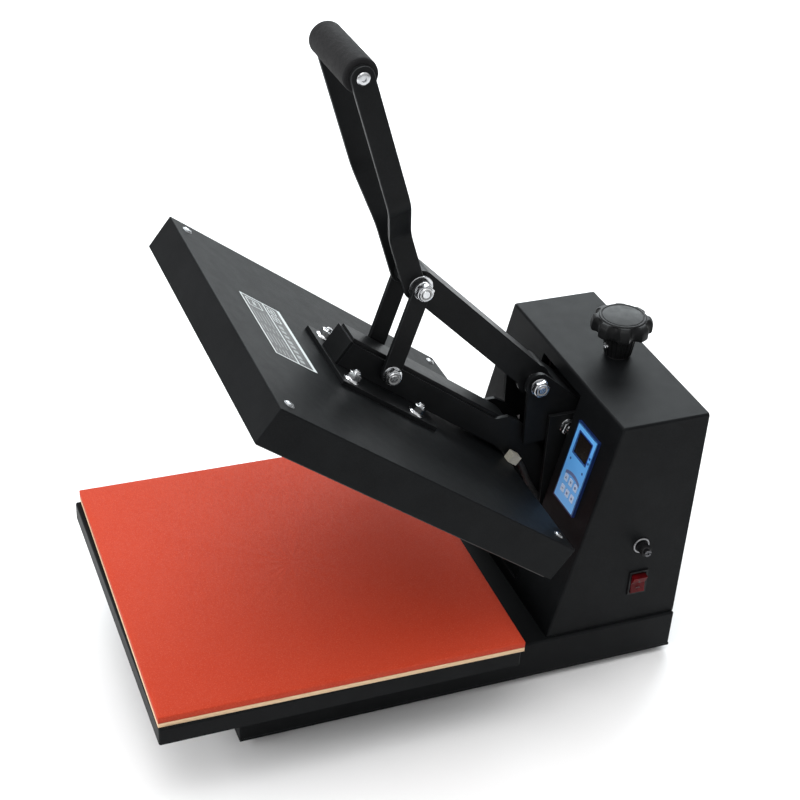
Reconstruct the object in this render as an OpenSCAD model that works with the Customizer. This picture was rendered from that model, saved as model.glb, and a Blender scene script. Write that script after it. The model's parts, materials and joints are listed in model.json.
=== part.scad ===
// Clamshell heat press: a raised hot platen swings down on a toggle linkage
// onto a padded lower platen. +X is the user's right, +Y the rear, +Z up.
// The origin is the centre of the machine's footprint, at the feet's underside.

/* [Base] */
// Width of the base frame
base_w = 273; // [240:1:300]
// Length of the base frame, front to back
base_l = 504; // [480:1:520]
// Height of the base frame with its bottom plate
base_h = 48; // [40:1:50]
// Height of the rubber feet
foot_h = 8; // [6:1:10]

/* [Lower platen] */
// Width of the lower platen
tray_w = 380; // [360:1:400]
// Depth of the lower platen
tray_l = 385; // [370:1:390]
// Height of the lower platen's turned-down edge
tray_h = 21; // [18:1:24]
// Thickness of the underlay sheet
underlay_t = 5; // [3:0.5:6]
// Thickness of the silicone pad
pad_t = 8; // [6:0.5:10]
// Angle by which the loose pad lies askew
pad_skew = 0.89; // [0:0.01:1.5]

/* [Upper platen] */
// Width of the upper cover
cover_w = 378.5; // [360:0.5:380]
// Depth of the upper cover
cover_l = 390; // [370:1:392]
// Height of the upper cover's wall
cover_h = 40; // [36:1:44]
// Angle at which the upper platen stands open
open_angle = 36.25; // [20:0.25:38]

/* [Toggle linkage] */
// Length of the toggle links between pivots
link_len = 97.2; // [90:0.1:105]
// Lean of the handle towards the front when open
handle_lean = 18; // [14:0.5:22]
// Distance from the toggle pivot to the grip
handle_len = 255; // [220:1:270]

/* [Column] */
// Width of the column housing
column_w = 265; // [250:1:271]
// Height of the column housing
column_h = 263.5; // [255:0.5:270]
// Depth of the column at its foot
column_l = 156.3; // [150:0.1:160]
// Depth of the column at its top
column_top_l = 99.8; // [95:0.1:110]

/* [Pressure adjuster] */
// Overall diameter of the star knob
knob_d = 66; // [56:1:70]
// Lobes on the star knob
knob_lobes = 8; // [6:1:10]

/* [Hidden] */
$fn = 64;

// Sheet thicknesses and running clearance
sheet = 2;
base_sheet = 2.5;
run_gap = 0.05;

// Overall layout
back_y = 301;
front_y = -301;
base_top = foot_h + base_h;
base_front = back_y - base_l;
tray_bottom = 84;
tray_top = tray_bottom + tray_h;
pad_top = tray_top + underlay_t + pad_t;
tray_mid_y = front_y + tray_l / 2;
pad_w = 381;
pad_l = 386;
pad_mid = [0, front_y + (pad_l * cos(pad_skew) + pad_w * sin(pad_skew)) / 2];

// Upper platen, laid out in its closed position
platen_gap = 0.5;
platen_proud = 3;
platen_bottom = pad_top + platen_gap;
platen_t = 16;
platen_top = platen_bottom + platen_t;
cover_bottom = platen_bottom + platen_proud;
cover_top = cover_bottom + cover_h;
cover_back = front_y + cover_l;
bracket_t = 5;
bracket_top = cover_top + bracket_t;

// Pivots as [y, z]: hinge of the platen arm, pivot of the upper arm and,
// with the press closed, the foot of the toggle links
hinge = [205, 128.5];
crank = [155.5, 315.5];
link_foot_closed = [-106.7, 185.5];

// A point turned about a centre in the YZ plane
function turn(p, c, a) = [
    c[0] + (p[0] - c[0]) * cos(a) - (p[1] - c[1]) * sin(a),
    c[1] + (p[0] - c[0]) * sin(a) + (p[1] - c[1]) * cos(a)
];

// Angle of the line from one point to another
function bearing(a, b) = atan2(b[1] - a[1], b[0] - a[0]);

// Upper meeting point of two circles
function meet(a, ra, b, rb) =
    let (d = norm(b - a), w = acos((ra * ra + d * d - rb * rb) / (2 * ra * d)))
    a + ra * [cos(bearing(a, b) - w), sin(bearing(a, b) - w)];

// The toggle is straight when the press is closed, which sets the arm's length
arm_len = norm(link_foot_closed - crank) - link_len;
link_foot = turn(link_foot_closed, hinge, -open_angle);
knee = meet(crank, arm_len, link_foot, link_len);
arm_angle = bearing(crank, knee);
link_angle = bearing(link_foot, knee);

// Widths across the linkage, as distances from the middle plane
arm_half = 16;
arm_wall = 4;
cheek_in = 16.2;
cheek_out = 20.5;
bar_in = 16.1;
bar_out = 20.6;
link_in = 22.4;
link_out = 27.4;
yoke_in = 24;
yoke_out = 28.5;
mast_in = 31.5;
mast_out = 36;
grip_half = 48;
bar_t = bar_out - bar_in;

// Fasteners
m10_r = 5;
m10_washer_r = 10;
m10_nut_r = 9.8;
m10_nut_h = 9;
washer_t = 1.5;
m8_r = 4;
m4_r = 2;
big_washer_r = 13;

// Column front: lean from the vertical and its foot
column_front = back_y - column_l;
column_lean = atan((column_l - column_top_l) / column_h);
column_top = base_top + column_h;
slot_half = 45;
slot_foot = 12;
slot_head = 255;

// Mast and pressure yoke inside the column
mast_front = 170;
mast_back = 284;
mast_top = 278;
mast_web_t = 4;
guide = [193, 262];
screw_y = 263;
screw_r = 6;
yoke_back = 282;
hinge_r = 10;

// Control panel, in the plane of the column's front
panel_x = [61, 106];
panel_z = [141, 235];
panel_t = 3.2;
window_x = [70, 97];
window_z = [201.5, 226];
key_x = [74, 84.5, 95];
key_z = [171, 157.5];
key_w = 7;
key_h = 8;
key_gap = 0.3;

// Switch and fuse holder on the column's right side
side_x = column_w / 2;
switch_at = [248, 110];
fuse_at = [245, 161];

// Power inlet on the rear cover
inlet_at = [-60, 100];
rear_plane = 296;

// Fixings of the upper platen, in its closed position
stud_x = 42;
stud_y = [-153, -64];
cover_screw_x = 171;
cover_screw_y = [-284, 75];

// Heater lead from the upper platen to the hinge, in the closed position
lead_r = 3.5;
lead_route = [
    [28.5, 91, 166.5],
    [28.5, 98.5, 166.5],
    [28.5, 116, 158],
    [28, 141, 145],
    [27, 165, 136.5],
    [26.8, 184, 134]
];

// Wires inside the column: inlet to switch, and relay to controller
wire_r = 2;
wire_routes = [
    [[-46, 290.5, 100], [70, 290.5, 100], [96, 262, 104], [107, 248, 110]],
    [[-88, 230, 85], [-88, 230, 307], [84, 230, 307], [84, 198.6, 245.4]]
];

// ---- Shared helpers -------------------------------------------------------

// A box given by its lowest and highest corners
module box(low, high) {
    translate(low) cube(high - low);
}

// A side outline in [y, z] given a thickness along X
module across(x, t) {
    translate([x, 0, 0]) rotate([90, 0, 90]) linear_extrude(t) children();
}

// The same piece on the right and, mirrored, on the left
module both_sides() {
    children();
    mirror([1, 0, 0]) children();
}

// A round bar along X between two distances from the middle plane
module rod(at, r, x0, x1) {
    translate([x0, at[0], at[1]]) rotate([0, 90, 0]) cylinder(r = r, h = x1 - x0);
}

// A ring along X
module ring(at, r, bore, x0, x1) {
    difference() {
        rod(at, r, x0, x1);
        rod(at, bore, x0 - 1, x1 + 1);
    }
}

// A hexagon along X
module hexagon(at, r, x0, x1) {
    translate([x0, at[0], at[1]]) rotate([0, 90, 0]) cylinder(r = r, h = x1 - x0, $fn = 6);
}

// Washer, locking nut and thread end on the right-hand end of an M10 bolt
module m10_end(at, x) {
    rod(at, m10_washer_r, x, x + washer_t);
    hexagon(at, m10_nut_r, x + washer_t, x + washer_t + 6);
    rod(at, m10_nut_r - 2, x + washer_t, x + washer_t + m10_nut_h);
}

// A round wire along a list of points, a little fuller at each bend
module routed(route, r) {
    for (i = [0 : len(route) - 2]) {
        step = route[i + 1] - route[i];
        flat = norm([step[0], step[1]]);
        translate(route[i])
            rotate([0, atan2(flat, step[2]), atan2(step[1], step[0])])
                cylinder(r = r, h = norm(step));
    }
    for (i = [1 : len(route) - 2]) {
        translate(route[i]) sphere(r = r + 0.4);
    }
}

// Pieces laid out in the closed position, swung up to the open position
module on_platen() {
    translate([0, hinge[0], hinge[1]])
        rotate([-open_angle, 0, 0])
            translate([0, -hinge[0], -hinge[1]])
                children();
}

// Upper arm's own frame: its pivot at the origin, the arm along -Y, top +Z
module on_arm() {
    translate([0, crank[0], crank[1]]) rotate([arm_angle - 180, 0, 0]) children();
}

// Handle's own frame: the knee pivot at the origin, the handle along +Z
module on_handle() {
    translate([0, knee[0], knee[1]]) rotate([handle_lean, 0, 0]) children();
}

// Plane of the column's sloping front: +Z up the slope, +Y into the column
module on_front() {
    translate([0, column_front, base_top]) rotate([-column_lean, 0, 0]) children();
}

// ---- Base and lower platen ------------------------------------------------

feet_x = 112;
feet_y = [base_front + 25, back_y - 25];

module base_plate() {
    color("dimgray") difference() {
        box([-base_w / 2, base_front, foot_h], [base_w / 2, back_y, foot_h + 3]);
        for (x = [-feet_x, feet_x], y = feet_y) {
            translate([x, y, 0]) cylinder(r = 3, h = 20);
        }
    }
}

module base_frame() {
    half = base_w / 2;
    color("dimgray") difference() {
        box([-half, base_front, foot_h + 3], [half, back_y, base_top]);
        box([-half + base_sheet, base_front + base_sheet, 0],
            [half - base_sheet, back_y - base_sheet, base_top - base_sheet]);
        for (x = [-mast_bolt_x, mast_bolt_x], y = mast_bolt_y) {
            translate([x, y, 0]) cylinder(r = m8_r + 0.2, h = 100);
        }
    }
}

module rubber_feet() {
    color("black") for (x = [-feet_x, feet_x], y = feet_y) {
        translate([x, y, 0]) difference() {
            cylinder(r1 = 14, r2 = 16, h = foot_h);
            translate([0, 0, -1]) cylinder(r = 6, h = 5);
            cylinder(r = 3, h = 20);
        }
    }
}

rail_half = 115;
rail_y = [-190, 20];
rail_l = 40;

module tray_rails() {
    rail_top = tray_top - 4;
    color("dimgray") for (y = rail_y) {
        difference() {
            box([-rail_half, y, base_top], [rail_half, y + rail_l, rail_top]);
            box([-rail_half - 1, y + 3, base_top + 3],
                [rail_half + 1, y + rail_l - 3, rail_top - 3]);
        }
    }
}

module lower_platen() {
    half = tray_w / 2;
    color("dimgray") difference() {
        box([-half, front_y, tray_bottom], [half, front_y + tray_l, tray_top]);
        box([-half + 3, front_y + 3, 0], [half - 3, front_y + tray_l - 3, tray_top - 4]);
    }
}

// A loose sheet lying a little askew on the lower platen
module loose_sheet(z, t) {
    translate([pad_mid[0], pad_mid[1], z]) rotate([0, 0, -pad_skew])
        translate([-pad_w / 2, -pad_l / 2, 0]) cube([pad_w, pad_l, t]);
}

module pad_underlay() {
    color("wheat") loose_sheet(tray_top, underlay_t);
}

module silicone_pad() {
    color("orangered") loose_sheet(tray_top + underlay_t, pad_t);
}

// ---- Column ---------------------------------------------------------------

// Side outline of the column, drawn in by a wall thickness
module column_outline(wall, foot_drop) {
    slope = (column_l - column_top_l) / column_h;
    inset = wall / cos(column_lean);
    polygon([
        [column_front + inset - slope * foot_drop, base_top - foot_drop],
        [column_front + inset + slope * (column_h - wall), column_top - wall],
        [back_y, column_top - wall],
        [back_y, base_top - foot_drop]
    ]);
}

module column_housing() {
    half = column_w / 2;
    lip = 14;
    color("dimgray") difference() {
        union() {
            difference() {
                across(-half, column_w) column_outline(0, 0);
                across(-half + sheet, column_w - 2 * sheet) column_outline(sheet, 5);
            }
            difference() {
                box([-half + 1, rear_plane - 2, base_top], [half - 1, rear_plane, column_top - 1]);
                box([-half + lip, 0, 0], [half - lip, 400, column_top - lip]);
            }
        }
        on_front() box([-slot_half, -9, slot_foot], [slot_half, 9, slot_head]);
        on_front() box([panel_x[0] + 5, -9, panel_z[0] + 7], [panel_x[1] - 5, 9, panel_z[1] - 6]);
        rod(fuse_at, 7.5, half - 9, half + 9);
        box([half - 9, switch_at[0] - 9.6, switch_at[1] - 13.6],
            [half + 9, switch_at[0] + 9.6, switch_at[1] + 13.6]);
        translate([0, screw_y, column_top - 9]) cylinder(r = 9, h = 20);
        rear_screw_places() cylinder(r = m4_r, h = 40, center = true);
    }
}

rear_half = 129.5;
rear_foot = 58;
rear_head = column_top - 3.5;
louvre_x = 62;
louvre_count = 7;

module rear_screw_places() {
    for (x = [-rear_half + 6, rear_half - 6], z = [rear_foot + 12, 190, rear_head - 12]) {
        translate([x, rear_plane, z]) rotate([90, 0, 0]) children();
    }
}

module rear_cover() {
    color("dimgray") difference() {
        box([-rear_half, rear_plane, rear_foot], [rear_half, rear_plane + sheet, rear_head]);
        box([inlet_at[0] - 15, 280, inlet_at[1] - 11], [inlet_at[0] + 15, 310, inlet_at[1] + 11]);
        for (x = [-louvre_x, louvre_x], i = [0 : louvre_count - 1]) {
            box([x - 30, 280, 205 + 11 * i], [x + 30, 310, 208 + 11 * i]);
        }
        rear_screw_places() cylinder(r = m4_r, h = 40, center = true);
    }
}

module rear_screws() {
    color("silver") rear_screw_places() {
        translate([0, 0, -sheet - 2]) cylinder(r = 4, h = 2);
        translate([0, 0, -sheet]) cylinder(r = m4_r, h = sheet + 6);
    }
}

mast_bolt_x = 50;
mast_bolt_y = [195, 265];

module mast_frame() {
    color("dimgray") difference() {
        union() {
            both_sides() {
                box([mast_in, mast_front, base_top], [mast_out, mast_back, mast_top]);
                box([mast_out - 1, mast_front + 8, base_top], [62, mast_back, base_top + 5]);
            }
            box([-mast_out, mast_back, base_top], [mast_out, mast_back + mast_web_t, 240]);
        }
        rod(hinge, hinge_r, -60, 60);
        rod(guide, m10_r, -60, 60);
        for (x = [-mast_bolt_x, mast_bolt_x], y = mast_bolt_y) {
            translate([x, y, 0]) cylinder(r = m8_r + 0.2, h = 100);
        }
    }
}

module mast_bolts() {
    color("silver") for (x = [-mast_bolt_x, mast_bolt_x], y = mast_bolt_y) {
        translate([x, y, base_top + 5]) cylinder(r = 8.5, h = 1.6);
        translate([x, y, base_top + 6.6]) cylinder(r = 7.5, h = 5.3, $fn = 6);
        translate([x, y, base_top - 12]) cylinder(r = m8_r, h = 17);
    }
}

module hinge_shaft() {
    color("silver") {
        rod(hinge, hinge_r, -mast_out - 5, mast_out + 5);
        both_sides() {
            rod(hinge, 14, 23, mast_in - 0.2);
            rod(hinge, 15, mast_out, mast_out + 4);
        }
    }
}

module guide_bolt() {
    color("silver") {
        rod(guide, m10_r, -mast_out - washer_t, mast_out + washer_t);
        both_sides() hexagon(guide, m10_nut_r, mast_out + washer_t, mast_out + washer_t + 6);
    }
}

module screw_bushing() {
    color("dimgray") translate([0, screw_y, 0]) difference() {
        union() {
            translate([0, 0, column_top]) cylinder(r = 13, h = 1.5);
            translate([0, 0, column_top - sheet - 4]) cylinder(r = 9, h = sheet + 4);
        }
        translate([0, 0, column_top - 20]) cylinder(r = screw_r + run_gap, h = 40);
    }
}

module power_inlet() {
    inlet = [inlet_at[0], 0, inlet_at[1]];
    color("black") translate(inlet) {
        difference() {
            union() {
                box([-24, rear_plane + sheet, -14], [24, back_y, 14]);
                box([-14, 272, -10], [14, rear_plane + sheet, 10]);
            }
            box([-11.8, 284, -8], [11.8, 310, 8]);
        }
    }
    color("silver") translate(inlet) {
        box([-1, 283, 1], [1, 295, 5]);
        box([-8, 283, -4], [-6, 295, 0]);
        box([6, 283, -4], [8, 295, 0]);
    }
}

module fuse_holder() {
    color("black") difference() {
        union() {
            rod(fuse_at, 9.5, side_x, side_x + 2);
            rod(fuse_at, 7.5, side_x - 24, side_x);
        }
        rod(fuse_at, 5 + run_gap, side_x - 20, side_x + 9);
    }
}

module fuse_cap() {
    color("black") difference() {
        union() {
            rod(fuse_at, 5, side_x - 19, side_x + 3);
            rod(fuse_at, 6.4, side_x + 2.2, side_x + 13);
            rod(fuse_at, 4.2, side_x + 13, side_x + 16.5);
        }
        box([side_x + 15, fuse_at[0] - 4.5, fuse_at[1] - 0.6],
            [side_x + 20, fuse_at[0] + 4.5, fuse_at[1] + 0.6]);
    }
}

switch_y = 11;
switch_z = 15.5;
rocker_y = 8.4;
rocker_z = 12.4;
rocker_x = side_x - 3;
rocker_pin_r = 1.4;

module switch_housing() {
    color("black") translate([0, switch_at[0], switch_at[1]]) difference() {
        union() {
            box([side_x, -switch_y, -switch_z], [side_x + 2, switch_y, switch_z]);
            box([side_x - 24, -9.6, -13.6], [side_x, 9.6, 13.6]);
        }
        box([side_x - 17, -rocker_y - 0.3, -rocker_z - 0.6],
            [side_x + 9, rocker_y + 0.3, rocker_z + 0.6]);
    }
    color("black") translate([rocker_x, switch_at[0], switch_at[1]]) rotate([90, 0, 0])
        cylinder(r = rocker_pin_r, h = 18.4, center = true);
}

// The rocker's two faces meet at a shallow valley, and it rests pressed at its foot
module rocker() {
    color("red") translate([rocker_x, switch_at[0], switch_at[1]]) rotate([0, 9, 0])
        rotate([90, 0, 0]) difference() {
            linear_extrude(2 * rocker_y, center = true) polygon([
                [-5, -5], [-1, -rocker_z + 1.4], [8.6, -rocker_z + 1.2],
                [5.4, 0],
                [8.6, rocker_z - 1.2], [-1, rocker_z - 1.4], [-5, 5]
            ]);
            cylinder(r = rocker_pin_r + 0.3, h = 40, center = true);
        }
}

module control_bezel() {
    color("dodgerblue") on_front() difference() {
        box([panel_x[0], -panel_t, panel_z[0]], [panel_x[1], 0, panel_z[1]]);
        box([window_x[0], -9, window_z[0]], [window_x[1], 9, window_z[1]]);
        for (x = key_x, z = key_z) {
            box([x - key_w / 2 - key_gap, -9, z - key_h / 2 - key_gap],
                [x + key_w / 2 + key_gap, 9, z + key_h / 2 + key_gap]);
        }
    }
}

module display_window() {
    color("black") on_front()
        box([window_x[0], -panel_t + 0.6, window_z[0]], [window_x[1], -1.4, window_z[1]]);
}

module controller_board() {
    color("green") on_front() {
        box([panel_x[0] + 3, 6, panel_z[0] - 3], [panel_x[1] - 3, 7.6, panel_z[1] + 3]);
        box([window_x[0] + 1, -1, window_z[0] + 1], [window_x[1] - 1, 6, window_z[1] - 1]);
        box([panel_x[0] + 6, 7.6, 175], [panel_x[0] + 26, 20, 195]);
    }
}

module solid_state_relay() {
    color("ivory") box([-110, 200, base_top], [-66, 260, base_top + 29]);
}

module internal_wiring() {
    color("firebrick") for (route = wire_routes) {
        routed(route, wire_r);
    }
}

// One panel key, numbered along the upper row and then the lower one
module key(n) {
    x = key_x[n % 3];
    z = key_z[floor(n / 3)];
    color("azure") on_front()
        box([x - key_w / 2, -panel_t - 0.5, z - key_h / 2], [x + key_w / 2, -1, z + key_h / 2]);
}

// ---- Pressure adjuster ----------------------------------------------------

module pressure_yoke() {
    color("dimgray") difference() {
        union() {
            both_sides() across(yoke_in, yoke_out - yoke_in) {
                translate(crank) circle(r = 14);
                polygon([
                    [146, 243], [yoke_back, 243], [yoke_back, 292],
                    [204, 292], [166, 325], [144, 318]
                ]);
            }
            box([-yoke_out, yoke_back - 4, 243], [yoke_out, yoke_back, 292]);
            box([-yoke_in, 246, 256], [yoke_in, yoke_back, 286]);
            across(-yoke_in, 2 * yoke_in) polygon([
                [178.5, 314.1], [204, 292], [230, 292],
                [230, 288], [202.5, 288], [175.9, 311.1]
            ]);
        }
        rod(crank, m10_r, -60, 60);
        for (z = [-5, 5]) {
            rod(guide + [0, z], m10_r + 0.5, -60, 60);
        }
        box([-60, guide[0] - m10_r - 0.5, guide[1] - 5], [60, guide[0] + m10_r + 0.5, guide[1] + 5]);
        translate([0, screw_y, 200]) cylinder(r = screw_r + run_gap, h = 200);
    }
}

module arm_pivot_bolt() {
    color("silver") {
        rod(crank, m10_r, -yoke_out - 1, yoke_out + 1);
        both_sides() {
            m10_end(crank, yoke_out);
            rod(crank, 9, arm_half + 0.4, yoke_in);
        }
    }
}

knob_foot = column_top + 2;
knob_disc = column_top + 30;

module pressure_knob() {
    lobe_r = 8.5;
    color("black") translate([0, screw_y, 0]) difference() {
        union() {
            translate([0, 0, knob_foot]) cylinder(r1 = 15, r2 = 19, h = knob_disc - knob_foot);
            translate([0, 0, knob_disc]) linear_extrude(17) {
                circle(r = knob_d / 2 - 7.5);
                for (i = [0 : knob_lobes - 1]) {
                    rotate(i * 360 / knob_lobes) translate([knob_d / 2 - lobe_r, 0]) circle(r = lobe_r);
                }
            }
            translate([0, 0, knob_disc + 17]) cylinder(r = 23, h = 1.5);
        }
        cylinder(r = screw_r, h = knob_disc + 8);
    }
}

module pressure_screw() {
    color("silver") translate([0, screw_y, 246]) cylinder(r = screw_r, h = knob_disc + 8 - 246);
}

// ---- Upper arm and handle -------------------------------------------------

module upper_arm() {
    top = 16.5;
    bottom = -13.5;
    color("dimgray") on_arm() difference() {
        across(-arm_half, 2 * arm_half) {
            translate([-arm_len, bottom]) square([arm_len, top - bottom]);
            translate([-arm_len, (top + bottom) / 2]) circle(r = (top - bottom) / 2);
            circle(r = 18);
        }
        box([-arm_half + arm_wall, -arm_len - 9, -40], [arm_half - arm_wall, 40, top - 4]);
        rod([0, 0], m10_r + run_gap, -60, 60);
        rod([-arm_len, 0], m10_r, -60, 60);
    }
}

// A handle bar: flat strip that jogs outward between the arm and the grip
module handle_bar() {
    jog_low = 64;
    jog_high = 114;
    bar_half = 11.5;
    bar_y = -5.4;
    grip_in = grip_half + 0.5;
    color("dimgray") on_handle() difference() {
        intersection() {
            rotate([90, 0, 0]) linear_extrude(60, center = true) polygon([
                [bar_in, -20], [bar_in, jog_low], [grip_in, jog_high], [grip_in, 300],
                [grip_in + bar_t, 300], [grip_in + bar_t, jog_high - 1],
                [bar_out, jog_low - 1], [bar_out, -20]
            ]);
            across(0, 80) {
                translate([bar_y - bar_half, 0]) square([2 * bar_half, handle_len]);
                translate([bar_y, handle_len]) circle(r = bar_half);
                translate([bar_y, 0]) circle(r = bar_half);
            }
        }
        rod([0, 0], m10_r, -90, 90);
        rod([bar_y, handle_len], 4, -90, 90);
    }
}

module handle_bar_right() {
    handle_bar();
}

module handle_bar_left() {
    mirror([1, 0, 0]) handle_bar();
}

grip_at = [-5.4, handle_len];

module grip_tube() {
    color("silver") on_handle() difference() {
        rod(grip_at, 11, -grip_half, grip_half);
        both_sides() rod(grip_at, 4, grip_half - 20, grip_half + 9);
    }
}

module foam_grip() {
    color("black") on_handle() ring(grip_at, 17, 11, -grip_half, grip_half);
}

module grip_screws() {
    color("silver") on_handle() both_sides() {
        rod(grip_at, 4, grip_half - 18, grip_half + 5);
        rod(grip_at, 6.5, grip_half + 5, grip_half + 8);
    }
}

module toggle_pin() {
    color("silver") {
        rod(knee, m10_r, -bar_out - 1, bar_out + 1);
        both_sides() rod(knee, big_washer_r, bar_out, bar_out + washer_t);
    }
}

// ---- Toggle links ---------------------------------------------------------

module toggle_link() {
    half = 10;
    color("dimgray") translate([0, link_foot[0], link_foot[1]]) rotate([link_angle, 0, 0])
        difference() {
            across(link_in, link_out - link_in) {
                translate([0, -half]) square([link_len, 2 * half]);
                circle(r = half);
                translate([link_len, 0]) circle(r = half);
            }
            rod([0, 0], m10_r, 0, 90);
            rod([link_len, 0], m10_r, 0, 90);
        }
}

module toggle_link_right() {
    toggle_link();
}

module toggle_link_left() {
    mirror([1, 0, 0]) toggle_link();
}

module link_bolt() {
    color("silver") {
        rod(link_foot, m10_r, -link_out - 1, link_out + 1);
        both_sides() {
            m10_end(link_foot, link_out);
            rod(link_foot, 9, cheek_out + 0.4, link_in);
        }
    }
}

knee_washer_r = 13.3;

module toggle_nuts() {
    color("silver") both_sides() {
        rod(knee, m10_r, link_in, link_out);
        rod(knee, knee_washer_r, link_out, link_out + washer_t);
        m10_end(knee, link_out);
    }
}

// ---- Platen arm -----------------------------------------------------------

arm_front = -162;
arm_top = 197.5;

module lower_arm() {
    rear = 62;
    color("dimgray") on_platen() difference() {
        union() {
            box([-arm_half, arm_front, bracket_top], [arm_half, rear, arm_top]);
            box([-18.5, arm_front - 3, bracket_top], [18.5, arm_front, arm_top - 3]);
        }
        box([-arm_half + 3, arm_front + 1, bracket_top - 9], [arm_half - 3, rear + 9, arm_top - 3]);
        rod(link_foot_closed, m10_r + run_gap, -60, 60);
    }
}

module arm_cheeks() {
    bush_r = 13;
    color("dimgray") on_platen() both_sides() difference() {
        across(cheek_in, cheek_out - cheek_in) {
            polygon([
                [arm_front, bracket_top + 0.5], [66, bracket_top + 0.5],
                [92, 161.9], [118, 155], [148, 139], [192, 112], [212, 148],
                [186, 147], [167, 153], [146, 171], [121, 188], [89, 200], [70, 204.5],
                [56, 203], [44, 193.5], [arm_front, 193.5]
            ]);
            translate(hinge) circle(r = 21);
        }
        rod(hinge, bush_r, -60, 60);
        rod(link_foot_closed, m10_r + run_gap, -60, 60);
    }
}

module hinge_bushes() {
    color("goldenrod") on_platen() both_sides() ring(hinge, 13, hinge_r + run_gap, 14.5, 22.5);
}

module platen_bracket() {
    half = 55;
    color("dimgray") on_platen() difference() {
        box([-half, -169, cover_top], [half, -39, bracket_top]);
        for (x = [-stud_x, stud_x], y = stud_y) {
            translate([x, y, 0]) cylinder(r = m8_r, h = 400);
        }
    }
}

module platen_bolts() {
    color("silver") on_platen() for (x = [-stud_x, stud_x], y = stud_y) {
        translate([x, y, platen_top]) cylinder(r = m8_r, h = bracket_top + 12 - platen_top);
        translate([x, y, bracket_top]) cylinder(r1 = 9.5, r2 = 8.4, h = 2.2);
        translate([x, y, bracket_top + 2.2]) cylinder(r = 7.5, h = 6.4, $fn = 6);
    }
}

// ---- Upper platen ---------------------------------------------------------

module upper_cover() {
    half = cover_w / 2;
    color("dimgray") on_platen() difference() {
        box([-half, front_y, cover_bottom], [half, cover_back, cover_top]);
        box([-half + sheet, front_y + sheet, 0], [half - sheet, cover_back - sheet, cover_top - sheet]);
        for (x = [-stud_x, stud_x], y = stud_y) {
            translate([x, y, 0]) cylinder(r = m8_r, h = 400);
        }
        for (x = [-cover_screw_x, cover_screw_x], y = cover_screw_y) {
            translate([x, y, 0]) cylinder(r = m4_r, h = 400);
        }
    }
}

module cover_screws() {
    color("silver") on_platen() for (x = [-cover_screw_x, cover_screw_x], y = cover_screw_y) {
        translate([x, y, cover_top]) cylinder(r = 5, h = 2.4);
        translate([x, y, cover_top - 12]) cylinder(r = m4_r, h = 12);
    }
}

module cover_label() {
    color("gray") on_platen() box([-64, -254, cover_top], [58, -201, cover_top + 0.3]);
}

insulation_z = 143;

module insulation_board() {
    color("ivory") on_platen() difference() {
        box([-162, -290, insulation_z], [162, 78, insulation_z + 10]);
        for (x = [-stud_x, stud_x], y = stud_y) {
            translate([x, y, 0]) cylinder(r = m8_r + 1, h = 400);
        }
    }
}

// A tubular heater in six runs joined by half-circle bends
module heater_element() {
    pitch = 56;
    r = 4;
    run_front = -255;
    run_back = 45;
    color("silver") on_platen() translate([0, 0, platen_top + r]) {
        for (i = [0 : 5]) {
            translate([(i - 2.5) * pitch, run_front, 0]) rotate([-90, 0, 0])
                cylinder(r = r, h = run_back - run_front);
        }
        for (i = [0 : 4]) {
            translate([(i - 2) * pitch, i % 2 == 0 ? run_front : run_back, 0])
                rotate([0, 0, i % 2 == 0 ? 180 : 0])
                    rotate_extrude(angle = 180) translate([pitch / 2, 0]) circle(r = r);
        }
    }
}

module heat_platen() {
    color("silver") on_platen() {
        box([-184, -296, platen_bottom], [184, 84, platen_top]);
        for (x = [-cover_screw_x, cover_screw_x], y = cover_screw_y) {
            translate([x, y, platen_top]) difference() {
                cylinder(r = 5, h = cover_top - sheet - platen_top);
                translate([0, 0, 12]) cylinder(r = m4_r, h = 40);
            }
        }
    }
}

module thermocouple() {
    color("silver") on_platen() translate([0, -106, platen_top]) {
        cylinder(r = 7, h = 2);
        cylinder(r = 3, h = 7);
    }
}

module lead_gland() {
    color("ivory") on_platen() difference() {
        box([23, 84, cover_top], [34, 96, cover_top + 10.5]);
        translate([28.5, 100, cover_top + 5]) rotate([90, 0, 0]) cylinder(r = lead_r + 0.4, h = 9.5);
    }
}

module heater_lead() {
    color("black") on_platen() routed(lead_route, lead_r);
}

// ---- Assembly -------------------------------------------------------------

base_plate();
base_frame();
rubber_feet();
tray_rails();
lower_platen();
pad_underlay();
silicone_pad();
column_housing();
rear_cover();
rear_screws();
mast_frame();
mast_bolts();
hinge_shaft();
guide_bolt();
screw_bushing();
power_inlet();
fuse_holder();
switch_housing();
control_bezel();
display_window();
controller_board();
solid_state_relay();
internal_wiring();
pressure_yoke();
arm_pivot_bolt();
pressure_knob();
pressure_screw();
upper_arm();
handle_bar_right();
handle_bar_left();
grip_tube();
foam_grip();
grip_screws();
toggle_pin();
toggle_link_right();
toggle_link_left();
link_bolt();
toggle_nuts();
lower_arm();
arm_cheeks();
hinge_bushes();
platen_bracket();
platen_bolts();
upper_cover();
cover_screws();
cover_label();
insulation_board();
heater_element();
heat_platen();
thermocouple();
lead_gland();
heater_lead();
rocker();
fuse_cap();
key(0);  // key_1
key(1);  // key_2
key(2);  // key_3
key(3);  // key_4
key(4);  // key_5
key(5);  // key_6
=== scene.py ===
"""Finished looks of a clamshell heat press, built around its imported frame."""

import json
import logging
import math
from dataclasses import dataclass, field, replace
from enum import Enum
from typing import Callable, Iterable, Sequence

import bmesh
import bpy
from mathutils import Matrix, Vector
from mathutils.geometry import tessellate_polygon


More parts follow.
